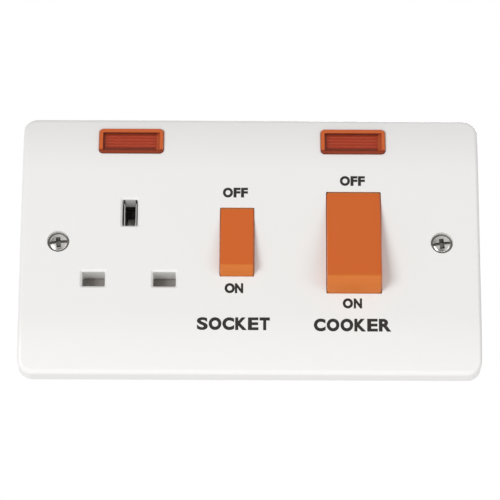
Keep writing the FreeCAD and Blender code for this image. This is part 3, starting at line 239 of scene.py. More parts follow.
drawnLines = (1.0, 0.08, 0.08)  # stretched along the strip
whitePlate = moulded("white_plate", rgb(236, 235, 233), rough=0.34, grain=0.10, fleck=0.006)
basePlastic = moulded("base_plastic", rgb(226, 224, 217), rough=0.52, grain=0.25)
# painted shade: a grey copy of the white shutter plastic for the blades
shutterShaded = moulded("shutter_plastic", rgb(152, 147, 142), rough=0.45, grain=0.2)
# painted shade: the carrier takes a dark grey so the deep inside of the apertures reads dark
carrierShadeGrey = moulded("carrier_painted_shade", rgb(66, 63, 60), rough=0.5, grain=0.2, fleck=0.03)
orangePlastic = moulded("orange_plastic", rgb(209, 101, 40), rough=0.34, grain=0.10, fleck=0.012, gloss=0.3)
# painted light: a lighter, yellower copy of the rocker orange for the ends and crease
orangeEndLit = moulded("orange_end_painted_light", rgb(204, 111, 41), rough=0.34, grain=0.10, fleck=0.012, gloss=0.3)
rampPlastic = moulded("ramp_plastic", rgb(240, 236, 230), rough=0.4, grain=0.15, fleck=0.015)
plungerNylon = moulded("plunger_nylon", rgb(238, 234, 222), rough=0.48, grain=0.2)
liveLead = moulded("live_lead", rgb(122, 72, 44), rough=0.45, grain=0.2, fleck=0.04)
neutralLead = moulded("neutral_lead", rgb(52, 96, 168), rough=0.45, grain=0.2, fleck=0.04)
lensRim = lensFront("lens_rim", rgb(208, 96, 38), alpha=0.96)
# painted shade: a darker, duller copy of the rim colour for the lower rim
lensLowShade = lensFront("lens_low_rim_painted_shade", rgb(140, 60, 36), alpha=0.96, rough=0.4, gloss=0.12)
lensWindow = lensFront("lens_window", rgb(178, 70, 42), alpha=0.2, gloss=0.25)
lensRib = moulded("lens_rib", rgb(198, 74, 44), rough=0.3, grain=0.1, fleck=0.05)
# painted light: a pale orange bar at the right of the lens
lensPaintedLight = moulded("lens_painted_light", rgb(226, 112, 54), rough=0.3, grain=0.1, fleck=0.04)
# painted shade: dark red for the shaded gaps inside the lens
lensShade = moulded("lens_painted_shade", rgb(78, 30, 20), rough=0.4, grain=0.1, fleck=0.05)
nickel = plated("nickel", (0.80, 0.775, 0.75, 1.0), rough=0.22, tarnish=0.12)
# painted shade: a dark metal for the screw recesses and the gap round the head
recessShade = plated("screw_recess_painted_shade", (0.29, 0.28, 0.265, 1.0), rough=0.36, tarnish=0.35)
zincSteel = plated("zinc_steel", (0.60, 0.61, 0.60, 1.0), rough=0.34, tarnish=0.25)
tinned = plated("tinned", (0.78, 0.77, 0.75, 1.0), rough=0.36, tarnish=0.20, lines=drawnLines)
springSteel = plated("spring_steel", (0.42, 0.42, 0.43, 1.0), rough=0.30, tarnish=0.25)
brass = plated("brass", (0.74, 0.56, 0.27, 1.0), rough=0.30, tarnish=0.30, lines=drawnLines)
ink = printInk()
glass = lampGlass()
print("finishes made")


# a place given in millimetres
def at(x, y, z):
    return Vector((x, y, z)) * mm


def span(middle, way, near, far):
    # from near to far on one side of a middle, low end first
    return sorted((middle + way * near, middle + way * far))


def addObject(name, data):
    made = bpy.data.objects.new(name, data)
    bpy.context.scene.collection.objects.link(made)
    return made


def meshFrom(bm, name):
    mesh = bpy.data.meshes.new(name)
    bm.to_mesh(mesh)
    bm.free()
    return mesh


def pourMesh(bm, mesh):
    # adds a mesh that isn't needed any more
    bm.from_mesh(mesh)
    bpy.data.meshes.remove(mesh)


def bakedMesh(holder):
    # an object as its modifiers or letters leave it
    bpy.context.view_layer.update()
    return bpy.data.meshes.new_from_object(holder.evaluated_get(bpy.context.evaluated_depsgraph_get()))


def newVerts(made):
    return [v for v in made["geom"] if isinstance(v, bmesh.types.BMVert)]


def addBox(bm, xs, ys, zs):
    verts = bmesh.ops.create_cube(bm, size=1.0)["verts"]
    bmesh.ops.scale(bm, vec=at(xs[1] - xs[0], ys[1] - ys[0], zs[1] - zs[0]), verts=verts)
    bmesh.ops.translate(bm, vec=at(sum(xs) / 2, sum(ys) / 2, sum(zs) / 2), verts=verts)
    return verts


def addRod(bm, start, end, radius, steps=32):
    low, high = at(*start), at(*end)
    turn = (high - low).to_track_quat("Z", "Y").to_matrix().to_4x4()
    place = Matrix.Translation((low + high) / 2) @ turn
    bmesh.ops.create_cone(bm, cap_ends=True, segments=steps, radius1=radius * mm, radius2=radius * mm,
                          depth=(high - low).length, matrix=place)


def depthEdges(bm):
    return [e for e in bm.edges if abs(e.verts[0].co.y - e.verts[1].co.y) > mm]


def frontEdges(bm, front):
    return [e for e in bm.edges if max(v.co.y for v in e.verts) < (front + skin) * mm]


def roundOff(bm, edges, radius, steps):
    bmesh.ops.bevel(bm, geom=edges, offset=radius * mm, offset_type="OFFSET", affect="EDGES",
                    segments=steps, profile=0.5, material=-1)
    bm.normal_update()


def addRing(bm, x, y, z, w, h, r, steps):
    # the outline of a rounded rectangle facing the front, as a loop of edges
    loop = bmesh.new()
    ends = ((-1, -1), (1, -1), (1, 1), (-1, 1))
    corners = [loop.verts.new(at(x + i * w / 2, y, z + j * h / 2)) for i, j in ends]
    loop.faces.new(corners)
    bmesh.ops.bevel(loop, geom=corners, offset=r * mm, offset_type="OFFSET", affect="VERTICES",
                    segments=steps, profile=0.5, material=-1)
    bmesh.ops.delete(loop, geom=loop.faces[:], context="FACES_ONLY")
    before = set(bm.edges)
    pourMesh(bm, meshFrom(loop, "loop"))
    return [e for e in bm.edges if e not in before]


def addCircle(bm, x, y, z, radius, steps):
    place = Matrix.Translation(at(x, y, z)) @ Matrix.Rotation(math.pi / 2, 4, "X")
    before = set(bm.edges)
    bmesh.ops.create_circle(bm, cap_ends=False, radius=radius * mm, segments=steps, matrix=place)
    return [e for e in bm.edges if e not in before]


def walkRing(bm, edges, centre, sizes):
    # carries a loop through (width, height, depth) steps and returns the last loop
    about = Matrix.Translation(-at(centre[0], 0, centre[1]))
    w0, h0, y0 = sizes[0]
    for w, h, y in sizes[1:]:
        verts = newVerts(bmesh.ops.extrude_edge_only(bm, edges=edges))
        bmesh.ops.scale(bm, vec=(w / w0, 1.0, h / h0), space=about, verts=verts)
        bmesh.ops.translate(bm, vec=at(0, y - y0, 0), verts=verts)
        ring = set(verts)
        edges = [e for e in bm.edges if e.verts[0] in ring and e.verts[1] in ring]
        w0, h0, y0 = w, h, y
    return edges


def arcSteps(w, h, y, r, steps):
    # a rounded mouth: the face outline first, then in and back by a quarter turn
    out = []
    for i in range(steps + 1):
        turn = math.pi / 2 * i / steps
        grow = 2 * r * (1 - math.sin(turn))
        out.append((w + grow, h + grow, y + r * (1 - math.cos(turn))))
    return out


def finishPiece(name, bm, materials, body, nodes=(), angle=32.0, weighted=True):
    mesh = meshFrom(bm, name)
    stale = mesh.attributes.get("custom_normal")  # the frame's own normals don't fit a merged copy
    if stale:
        mesh.attributes.remove(stale)
    mesh.shade_smooth()
    mesh.set_sharp_from_angle(angle=math.radians(angle))
    for material in materials:
        mesh.materials.append(material)
    piece = addObject(name, mesh)
    if weighted:
        even = piece.modifiers.new("even_normals", "WEIGHTED_NORMAL")
        even.keep_sharp = True
        even.weight = 60  # wide faces lead a little
    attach(piece, body)
    if nodes:
        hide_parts(*nodes)
    return piece


def tidyNormals(bm):
    bmesh.ops.remove_doubles(bm, verts=bm.verts[:], dist=touch["merge"])
    bmesh.ops.recalc_face_normals(bm, faces=bm.faces[:])


# sizes in millimetres; y is depth, with the wall at 0 and the front at minus
plate = {"w": 144.6, "h": 85.4, "front": -9.0, "inside": -6.4, "rim": 2.4, "corner": 4.6, "cornerSteps": 12,
         "edge": 1.3, "edgeSteps": 10, "hollowSteps": 8, "draft": 0.1, "bite": 0.05}
crown = {"flat": 24.0, "drop": 2.8, "band": 0.85}  # half height of the flat, drop at the edges
mouthEdge = {"r": 0.15, "steps": 3}
pinHole = {"end": -2.0, "wall": 0.65, "chamfer": 0.65, "lip": 0.05, "lipAt": 0.55, "straightAt": 0.66,
           "r": 0.6}
socketAt = {"x": -37.9, "earthZ": 9.85, "lineZ": -12.38, "half": 11.115, "line": (7.2, 4.8),
            "earth": (4.8, 8.8)}
switches = {"socket": {"x": -4.1, "w": 10.8, "h": 23.0}, "cooker": {"x": 32.6, "w": 17.3, "h": 34.0}}
pivot = {"y": -4.5, "depth": 4.5, "gap": 0.14, "corner": 0.3, "cornerSteps": 2}
neon = {"x": (-37.9, 32.6), "z": 34.4, "w": 20.4, "h": 8.8, "r": 1.3, "cornerSteps": 6, "gap": 0.1,
        "rise": 0.8, "seat": -5.4, "pocket": 1.3, "pocketWall": 0.7, "pocketEnd": -1.7}
fixing = {"x": 60.3, "head": 5.7, "rise": 0.45, "sink": 1.25, "mouth": 7.0, "lip": 0.1, "lipDepth": 0.08,
          "seat": 6.8, "seatDepth": 2.2, "hole": 4.2, "boss": 8.2, "bossEnd": -0.5, "steps": 48}
ear = {"near": 0.02, "far": 2.2, "end": 3.5, "half": 5.0}  # beside the rockers, from the pivot
pillar = {"at": ((-50.8, 22.8), (-18.6, -22.8), (50.8, 22.8), (50.8, -22.8)), "end": 2.0, "r": 3.5}
carrierPost = {"x": 12.5, "z": (14.0, -4.5), "end": 1.0, "r": 2.3, "steps": 24}
blade = {"sides": {26.4: (-1, 1), 38.8: (-1, 1), -12.1: (1,), 3.9: (1,)},  # x, then below or above
         "half": 0.8, "end": 7.59, "near": 19.45, "far": 24.4}


def crownDrop(z):
    run = plate["h"] / 2 - crown["flat"]
    r = (run ** 2 + crown["drop"] ** 2) / (2 * crown["drop"])
    return r - math.sqrt(r ** 2 - max(abs(z) - crown["flat"], 0.0) ** 2)


def bendFace(bm, deepest):
    # cuts a flat front into bands and lets it follow the curve of the plate, down to a depth
    bands = int((plate["h"] / 2 - crown["flat"]) / crown["band"])
    for i in range(bands + 1):
        for way in (-1, 1):
            cut = at(0, 0, way * (crown["flat"] + i * crown["band"]))
            geom = bm.verts[:] + bm.edges[:] + bm.faces[:]
            bmesh.ops.bisect_plane(bm, geom=geom, dist=touch["fine"], plane_co=cut, plane_no=(0, 0, 1))
    for v in bm.verts:
        if v.co.y < deepest * mm:
            v.co.y += crownDrop(v.co.z / mm) * mm


def rectHole(bm, x, z, sizes, r, steps=4):
    w, h, y = sizes[0]
    mouth = addRing(bm, x, y, z, w, h, r, steps)
    return mouth, walkRing(bm, mouth, (x, z), sizes)


def pinHoles(bm):
    front, end, inside = plate["front"], pinHole["end"], plate["inside"]
    chamfer, lip, wall = [2 * pinHole[key] for key in ("chamfer", "lip", "wall")]
    pins = [(socketAt["x"], socketAt["earthZ"], socketAt["earth"])]
    for way in (-1, 1):
        pins.append((socketAt["x"] + way * socketAt["half"], socketAt["lineZ"], socketAt["line"]))
    holes = []
    for x, z, (w, h) in pins:
        steps = [(chamfer, front), (lip, front + pinHole["lipAt"]), (0.0, front + pinHole["straightAt"])]
        steps += [(0.0, end), (wall, end), (wall, inside)]
        sizes = [(w + grow, h + grow, y) for grow, y in steps]
        holes.append(rectHole(bm, x, z, sizes, pinHole["r"]))
    return holes


def switchHoles(bm):
    front, inside = plate["front"], plate["inside"]
    holes = []
    for one in switches.values():
        reach = math.hypot(one["h"] / 2, pivot["depth"])
        backH = 2 * math.sqrt(reach ** 2 - (pivot["y"] - inside) ** 2)
        sizes = arcSteps(one["w"], one["h"], front, **mouthEdge) + [(one["w"], backH, inside)]
        holes.append(rectHole(bm, one["x"], 0.0, sizes, pivot["corner"], pivot["cornerSteps"]))
    return holes


def neonHoles(bm):
    seat, end = neon["seat"], neon["pocketEnd"]
    w, h = neon["w"] + 2 * neon["gap"], neon["h"] + 2 * neon["gap"]
    pocket, wall = 2 * neon["pocket"], 2 * (neon["pocket"] + neon["pocketWall"])
    steps = [(0.0, seat), (pocket, seat), (pocket, end), (wall, end), (wall, plate["inside"])]
    sizes = arcSteps(w, h, plate["front"], **mouthEdge) + [(w + grow, h + grow, y) for grow, y in steps]
    r = neon["r"] + neon["gap"]
    return [rectHole(bm, x, neon["z"], sizes, r, neon["cornerSteps"]) for x in neon["x"]]


def screwHoles(bm):
    front, end, inside = plate["front"], fixing["bossEnd"], plate["inside"]
    wide, seat, hole, boss, lip = [fixing[key] for key in ("mouth", "seat", "hole", "boss", "lip")]
    deep = front + fixing["seatDepth"]
    steps = [(wide + 2 * lip, front), (wide, front + fixing["lipDepth"]), (seat, deep)]
    steps += [(hole, deep + (seat - hole) / 2), (hole, end), (boss, end), (boss, inside)]
    sizes = [(across, across, y) for across, y in steps]
    holes = []
    for way in (-1, 1):
        x = way * fixing["x"]
        mouth = addCircle(bm, x, front, 0.0, wide / 2 + lip, fixing["steps"])
        holes.append((mouth, walkRing(bm, mouth, (x, 0.0), sizes)))
    return holes


def plateInsides(bm):
    # ears for the rockers, pillars for the base, posts for the shutter carrier, blades over the terminals
    inside = plate["inside"] - plate["bite"]
    for one in switches.values():
        for way in (-1, 1):
            xs = span(one["x"], way, one["w"] / 2 + ear["near"], one["w"] / 2 + ear["far"])
            addBox(bm, xs, (inside, pivot["y"] + ear["end"]), (-ear["half"], ear["half"]))
    for x, z in pillar["at"]:
        addRod(bm, (x, inside, z), (x, pillar["end"], z), pillar["r"])
    for way in (-1, 1):
        x = socketAt["x"] + way * carrierPost["x"]
        for z in carrierPost["z"]:
            addRod(bm, (x, inside, z), (x, carrierPost["end"], z), carrierPost["r"], carrierPost["steps"])
    for x, ways in blade["sides"].items():
        for way in ways:
            zs = span(0.0, way, blade["near"], blade["far"])
            addBox(bm, (x - blade["half"], x + blade["half"]), (inside, blade["end"]), zs)


def buildPlate():
    bm = bmesh.new()
    w, h, front, rim = plate["w"], plate["h"], plate["front"], plate["rim"]
    addBox(bm, (-w / 2, w / 2), (front, 0.0), (-h / 2, h / 2))
    roundOff(bm, depthEdges(bm), plate["corner"], plate["cornerSteps"])
    roundOff(bm, frontEdges(bm, front), plate["edge"], plate["edgeSteps"])
    flat = [f for f in bm.faces if abs(f.normal.y) > straight and len(f.verts) > 8]  # front and back
    bmesh.ops.delete(bm, geom=flat, context="FACES_ONLY")
    faceRim = [e for e in frontEdges(bm, front) if e.is_boundary]
    wallRim = [e for e in bm.edges if e.is_boundary and e.verts[0].co.y > -skin * mm]
    innerW, innerH = w - 2 * rim, h - 2 * rim
    hollow = addRing(bm, 0.0, 0.0, 0.0, innerW, innerH, plate["corner"] - rim, plate["hollowSteps"])
    floor = (innerW - plate["draft"], innerH - plate["draft"], plate["inside"])
    floorRim = walkRing(bm, hollow, (0.0, 0.0), [(innerW, innerH, 0.0), floor])
    holes = pinHoles(bm) + switchHoles(bm) + neonHoles(bm) + screwHoles(bm)
    mouths = [e for mouth, back in holes for e in mouth]
    backs = [e for mouth, back in holes for e in back]
    bmesh.ops.triangle_fill(bm, use_beauty=True, edges=faceRim + mouths, normal=(0, -1, 0))
    bmesh.ops.triangle_fill(bm, use_beauty=True, edges=wallRim + hollow, normal=(0, 1, 0))
    bmesh.ops.triangle_fill(bm, use_beauty=True, edges=floorRim + backs, normal=(0, 1, 0))
    bendFace(bm, plate["inside"] + plate["bite"])
    plateInsides(bm)
    tidyNormals(bm)
    finishPiece("plate_moulding", bm, [whitePlate], "unit", ["front_plate"])


buildPlate()
print("plate made")


rockers = {
    "socket": {"body": "socket_rocker", "turn": 20.0, "poles": (-4.1,), "side": 0.6, "crease": 0.5},
    "cooker": {"body": "cooker_rocker", "turn": 24.0, "poles": (28.35, 36.85), "side": 0.8, "crease": 0.6},
}
rockerShell = {"skirt": 100.0, "skirtSteps": 12, "edgeSteps": 5, "wall": 1.6, "endWall": 1.8,
               "frontWall": 2.0, "pinR": 1.5, "pinRoot": 0.3, "pinOut": 1.8, "poleR": 3.0,
               "poleRoot": 1.95, "poleEnd": 4.0}


def rockerSize(name):
    # width, half angle of the front, angle of the skirt, and places of their edges from the pivot
    endR = math.hypot(switches[name]["h"] / 2, pivot["depth"]) - pivot["gap"]
    half = math.acos(pivot["depth"] / endR) - math.radians(rockers[name]["turn"] / 2)
    skirt = math.radians(rockerShell["skirt"])
    return {"wide": switches[name]["w"] - 2 * pivot["gap"], "half": half, "skirt": skirt,
            "front": endR * math.cos(half), "top": endR * math.sin(half),
            "backY": -endR * math.cos(skirt), "backZ": endR * math.sin(skirt)}


def rockerBlock(bm, own, size):
    # the side outline spun about the pivot, drawn out to the width and rounded
    wide, front = size["wide"], size["front"]
    top = bm.verts.new(at(-wide / 2, -front, size["top"]))
    bmesh.ops.spin(bm, geom=[top], cent=at(-wide / 2, 0, 0), axis=(1, 0, 0), dvec=(0, 0, 0),
                   angle=size["half"] - size["skirt"], steps=rockerShell["skirtSteps"],
                   use_merge=False, use_duplicate=False)
    bmesh.ops.mirror(bm, geom=bm.verts[:] + bm.edges[:], matrix=Matrix.Identity(4), merge_dist=0.0, axis="Z")
    loose = [v for v in bm.verts if len(v.link_edges) == 1]
    loose.sort(key=lambda v: v.co.y)
    bm.edges.new(loose[:2])
    bm.edges.new(loose[2:])
    bmesh.ops.contextual_create(bm, geom=bm.edges[:])
    far = newVerts(bmesh.ops.extrude_face_region(bm, geom=bm.faces[:]))
    bmesh.ops.translate(bm, vec=at(wide, 0, 0), verts=far)
    bmesh.ops.recalc_face_normals(bm, faces=bm.faces[:])
    crossing = [e for e in bm.edges if abs(e.verts[0].co.x - e.verts[1].co.x) > mm]
    crease = [e for e in crossing if e.verts[0].co.y < (skin - front) * mm]
    roundOff(bm, crease, own["crease"], rockerShell["edgeSteps"])
    sides = [e for e in bm.edges if abs(abs(e.verts[0].co.x) - wide * mm / 2) < touch["merge"]]
    sides = [e for e in sides if abs(e.verts[0].co.x - e.verts[1].co.x) < touch["merge"]]
    sides = [e for e in sides if min(v.co.y for v in e.verts) < size["backY"] * mm - touch["back"]]
    roundOff(bm, sides, own["side"], rockerShell["edgeSteps"])


def hollowRocker(bm, size):
    # opens the back and goes in as far as the front wall
    wall, backY = rockerShell["wall"], size["backY"] * mm
    faces = [f for f in bm.faces if f.normal.y > straight]
    back = [f for f in faces if f.calc_center_median().y > backY - touch["back"]]
    bmesh.ops.inset_region(bm, faces=back, thickness=wall * mm, use_even_offset=True)
    ways = [(across, up) for across in (-1, 1) for up in (-1, 1)]
    corners = [[v for v in back[0].verts if v.co.x * across > 0 and v.co.z * up > 0] for across, up in ways]
    for corner in corners:  # each rounded corner of the inset meets in one point
        meet = (min((v.co.x for v in corner), key=abs), backY, min((v.co.z for v in corner), key=abs))
        bmesh.ops.pointmerge(bm, verts=corner, merge_co=meet)
    bm.normal_update()
    back = [max((f for f in bm.faces if f.normal.y > straight), key=lambda f: f.calc_area())]
    deep = newVerts(bmesh.ops.extrude_face_region(bm, geom=back))
    inwards = rockerShell["frontWall"] - size["front"] - size["backY"]
    bmesh.ops.translate(bm, vec=at(0, inwards, 0), verts=deep)
    narrow = (size["front"] * math.tan(size["half"]) - rockerShell["endWall"]) / (size["backZ"] - wall)
    bmesh.ops.scale(bm, vec=(1.0, 1.0, narrow), verts=deep)
    bmesh.ops.delete(bm, geom=back, context="FACES_ONLY")


def buildRocker(name):
    own, opening, size = rockers[name], switches[name], rockerSize(name)
    bm = bmesh.new()
    rockerBlock(bm, own, size)
    hollowRocker(bm, size)
    root, out = size["wide"] / 2 - rockerShell["pinRoot"], opening["w"] / 2 + rockerShell["pinOut"]
    for way in (-1, 1):
        addRod(bm, (way * root, 0, 0), (way * out, 0, 0), rockerShell["pinR"])
    for pole in own["poles"]:
        x = pole - opening["x"]
        start = rockerShell["poleRoot"] - size["front"]
        addRod(bm, (x, start, 0), (x, rockerShell["poleEnd"], 0), rockerShell["poleR"])
    endFrom = (size["top"] - own["crease"]) * mm
    for face in bm.faces:  # painted light: the ends and the crease take a lighter, yellower orange, as lit from below
        face.material_index = 1 if abs(face.calc_center_median().z) > endFrom else 0
    tilt = Matrix.Rotation(math.radians(-own["turn"] / 2), 4, "X")
    place = Matrix.Translation(at(opening["x"], pivot["y"], 0)) @ tilt
    bmesh.ops.transform(bm, matrix=place, verts=bm.verts[:])
    tidyNormals(bm)
    materials = [orangePlastic, orangeEndLit]
    finishPiece(name + "_rocker_cap", bm, materials, own["body"], [own["body"]])


for which in rockers:
    buildRocker(which)
print("rockers made")


screw = {"plain": 3.1, "thread": 3.5, "plainEnd": -0.3, "end": 16.0, "pitch": 0.6, "threadDepth": 0.36,
         "crest": (0.24, 0.34), "turnSteps": 20, "coreStart": 0.2, "coreSteps": 24, "slot": 0.9,
         "cross": (1.8, 5.0), "recess": 1.05, "crossDeeper": 0.45, "crossTip": (0.55, 0.3), "overcut": 1.0,
         "dome": 2.6, "domeSteps": 10, "rim": 0.07, "edge": ((0.18, -0.02), (0.06, 0.05)), "step": 0.5,
         "stepIn": 0.04, "skirt": 3.3, "skirtEdge": 0.06, "shadeFrom": 0.1, "shadeOut": 1.2, "steps": 56,
         "turn": (6.0, 7.5), "angle": 28.0}
screwFinish = [nickel, recessShade]


def screwObject(name, bm):
    made = addObject(name, meshFrom(bm, name))
    for material in screwFinish:
        made.data.materials.append(material)
    return made


def screwBlank(front):
    # domed head, sunk skirt and plain shank, spun from half an outline
    rise, headR, plainR = fixing["rise"], fixing["head"] / 2, screw["plain"] / 2
    domeH = rise - screw["rim"]
    domeR = (screw["dome"] ** 2 + domeH ** 2) / (2 * domeH)
    bm = bmesh.new()
    peak = bm.verts.new(at(0, front - rise, 0))
    bmesh.ops.spin(bm, geom=[peak], cent=at(0, front - rise + domeR, 0), axis=(0, 0, 1), dvec=(0, 0, 0),
                   angle=math.asin(screw["dome"] / domeR), steps=screw["domeSteps"],
                   use_merge=False, use_duplicate=False)
    tip = [v for v in bm.verts if len(v.link_edges) == 1 and v is not peak][0]
    way = 1 if tip.co.x > 0 else -1
    path = [(headR - inwards, front + deeper) for inwards, deeper in screw["edge"]]
    under = front + screw["step"]
    path += [(headR - screw["stepIn"], under), (screw["skirt"], under + screw["skirtEdge"])]
    path += [(plainR, under + screw["skirt"] - plainR), (plainR, screw["plainEnd"])]
    path += [(0.0, screw["plainEnd"])]
    for r, y in path:
        end = bm.verts.new(at(way * r, y, 0))
        bm.edges.new((tip, end))
        tip = end
    bmesh.ops.spin(bm, geom=bm.verts[:] + bm.edges[:], cent=(0, 0, 0), axis=(0, 1, 0), dvec=(0, 0, 0),
                   angle=2 * math.pi, steps=screw["steps"], use_merge=True, use_duplicate=False)
    tidyNormals(bm)
    # painted shade: faces under the head's rim, in the gap round it, take the dark metal
    for f in bm.faces:
        middle = f.calc_center_median()
        outside = math.hypot(middle.x, middle.z) > plainR * mm * screw["shadeOut"]
        if outside and middle.y > (front + screw["shadeFrom"]) * mm:
            f.material_index = 1
    return screwObject("head", bm)


def screwRecess(front):
    # a straight slot across the head and a tapered cross arm; their walls take the dark metal, painted shade
    top, side = front - fixing["rise"], fixing["head"] / 2 + screw["overcut"]
    low, deep = top - screw["overcut"], top + screw["recess"]
    cut = bmesh.new()
    addBox(cut, (-side, side), (low, deep), (-screw["slot"] / 2, screw["slot"] / 2))
    armW, armL = screw["cross"]
    arm = addBox(cut, (-armW / 2, armW / 2), (low, deep + screw["crossDeeper"]), (-armL / 2, armL / 2))
    tipX, tipZ = screw["crossTip"]
    bmesh.ops.scale(cut, vec=(tipX, 1.0, tipZ), verts=[v for v in arm if v.co.y > deep * mm])
    for f in cut.faces:
        f.material_index = 1
    return screwObject("recess", cut)


def screwHead(x, turn):
    front = plate["front"] + fixing["sink"]
    head, cutter = screwBlank(front), screwRecess(front)
    carve = head.modifiers.new("carve", "BOOLEAN")
    carve.operation, carve.solver, carve.object, carve.use_self = "DIFFERENCE", "EXACT", cutter, True
    carved = bakedMesh(head)
    for one in (head, cutter):
        bpy.data.objects.remove(one)
    carved.transform(Matrix.Translation(at(x, 0, 0)) @ Matrix.Rotation(math.radians(-turn), 4, "Y"))
    return carved


def screwThread(x):
    start, pitch, perTurn = screw["plainEnd"], screw["pitch"], screw["turnSteps"]
    turns = int((screw["end"] - start) / pitch) - 1
    crestR = screw["thread"] / 2
    rootR = crestR - screw["threadDepth"]
    rising, falling = screw["crest"]
    coil = bmesh.new()
    profile = [(rootR, 0.0), (crestR, rising), (crestR, falling), (rootR, pitch)]
    points = [coil.verts.new(at(r, start + y, 0)) for r, y in profile]
    for a, b in zip(points, points[1:]):
        coil.edges.new((a, b))
    bmesh.ops.spin(coil, geom=coil.verts[:] + coil.edges[:], cent=(0, 0, 0), axis=(0, 1, 0),
                   dvec=at(0, pitch / perTurn, 0), angle=2 * math.pi * turns, steps=perTurn * turns,
                   use_merge=False, use_duplicate=False)
    bmesh.ops.remove_doubles(coil, verts=coil.verts[:], dist=skin * mm)
    bmesh.ops.recalc_face_normals(coil, faces=coil.faces[:])
    addRod(coil, (0, start - screw["coreStart"], 0), (0, screw["end"], 0), rootR, screw["coreSteps"])
    bmesh.ops.translate(coil, vec=at(x, 0, 0), verts=coil.verts[:])
    return meshFrom(coil, "thread")


def buildFixings():
    bm = bmesh.new()
    for way, turn in zip((-1, 1), screw["turn"]):
        pourMesh(bm, screwHead(way * fixing["x"], turn))
        pourMesh(bm, screwThread(way * fixing["x"]))
    finishPiece("fixing_screw_pair", bm, screwFinish, "unit", ["fixing_screws"],
                screw["angle"])


buildFixings()
print("fixing screws made")


lens = {"wall": 1.15, "edge": 0.45, "edgeSteps": 4, "flange": 1.3, "flangeT": 1.2, "drop": 0.4,
        "bite": 0.05, "ribs": 6, "ribDepth": 0.35, "ribStart": 0.25, "ribT": 0.5, "ribAngle": 10.0,
        "behind": 0.03, "trim": 0.02, "barT": 0.2, "barStep": 0.01, "line": 0.6, "lineShort": 0.8,
        "band": 1.0, "bandShort": 1.6, "pale": 1.0, "bendTo": 1.5, "screen": (0.35, 0.05),
        "screenEdge": 0.1}


def lensCap(name, x):
    front, seat, z = plate["front"] - neon["rise"], neon["seat"], neon["z"]
    w, h, wall, flange = neon["w"], neon["h"], lens["wall"], lens["flange"]
    bm = bmesh.new()
    addBox(bm, (x - w / 2, x + w / 2), (front, seat), (z - h / 2, z + h / 2))
    roundOff(bm, depthEdges(bm), neon["r"], neon["cornerSteps"])
    roundOff(bm, frontEdges(bm, front), lens["edge"], lens["edgeSteps"])
    face = [f for f in bm.faces if f.normal.y < -straight]
    bmesh.ops.inset_region(bm, faces=face, thickness=(wall - lens["edge"]) * mm, use_even_offset=True)
    bmesh.ops.translate(bm, vec=at(0, 0, -lens["drop"]), verts=list({v for f in face for v in f.verts}))
    for f in face:
        f.material_index = 1
    back = [f for f in bm.faces if f.normal.y > straight]
    bmesh.ops.inset_region(bm, faces=back, thickness=wall * mm, use_even_offset=True)
    made = bmesh.ops.extrude_face_region(bm, geom=back)
    bmesh.ops.translate(bm, vec=at(0, front + wall - seat, 0), verts=newVerts(made))
    for f in made["geom"]:
        if isinstance(f, bmesh.types.BMFace):
            f.material_index = 1
    bmesh.ops.delete(bm, geom=back, context="FACES_ONLY")
    bendFace(bm, front + wall + lens["bite"])
    for f in bm.faces:
        if f.material_index == 0 and f.calc_center_median().z < (z - h / 2 + wall) * mm:
            f.material_index = 2  # painted shade: the lower rim takes a darker copy of the rim colour
    ys = (seat, seat + lens["flangeT"])
    for way in (-1, 1):
        addBox(bm, span(x, way, w / 2 - wall, w / 2 + flange), ys, (z - h / 2 - flange, z + h / 2 + flange))
        addBox(bm, (x - w / 2 + wall, x + w / 2 - wall), ys, span(z, way, h / 2 - wall, h / 2 + flange))
    tidyNormals(bm)
    materials = [lensRim, lensWindow, lensLowShade]
    finishPiece(name + "_lens_cap", bm, materials, "unit", [name + "_neon_lens"])


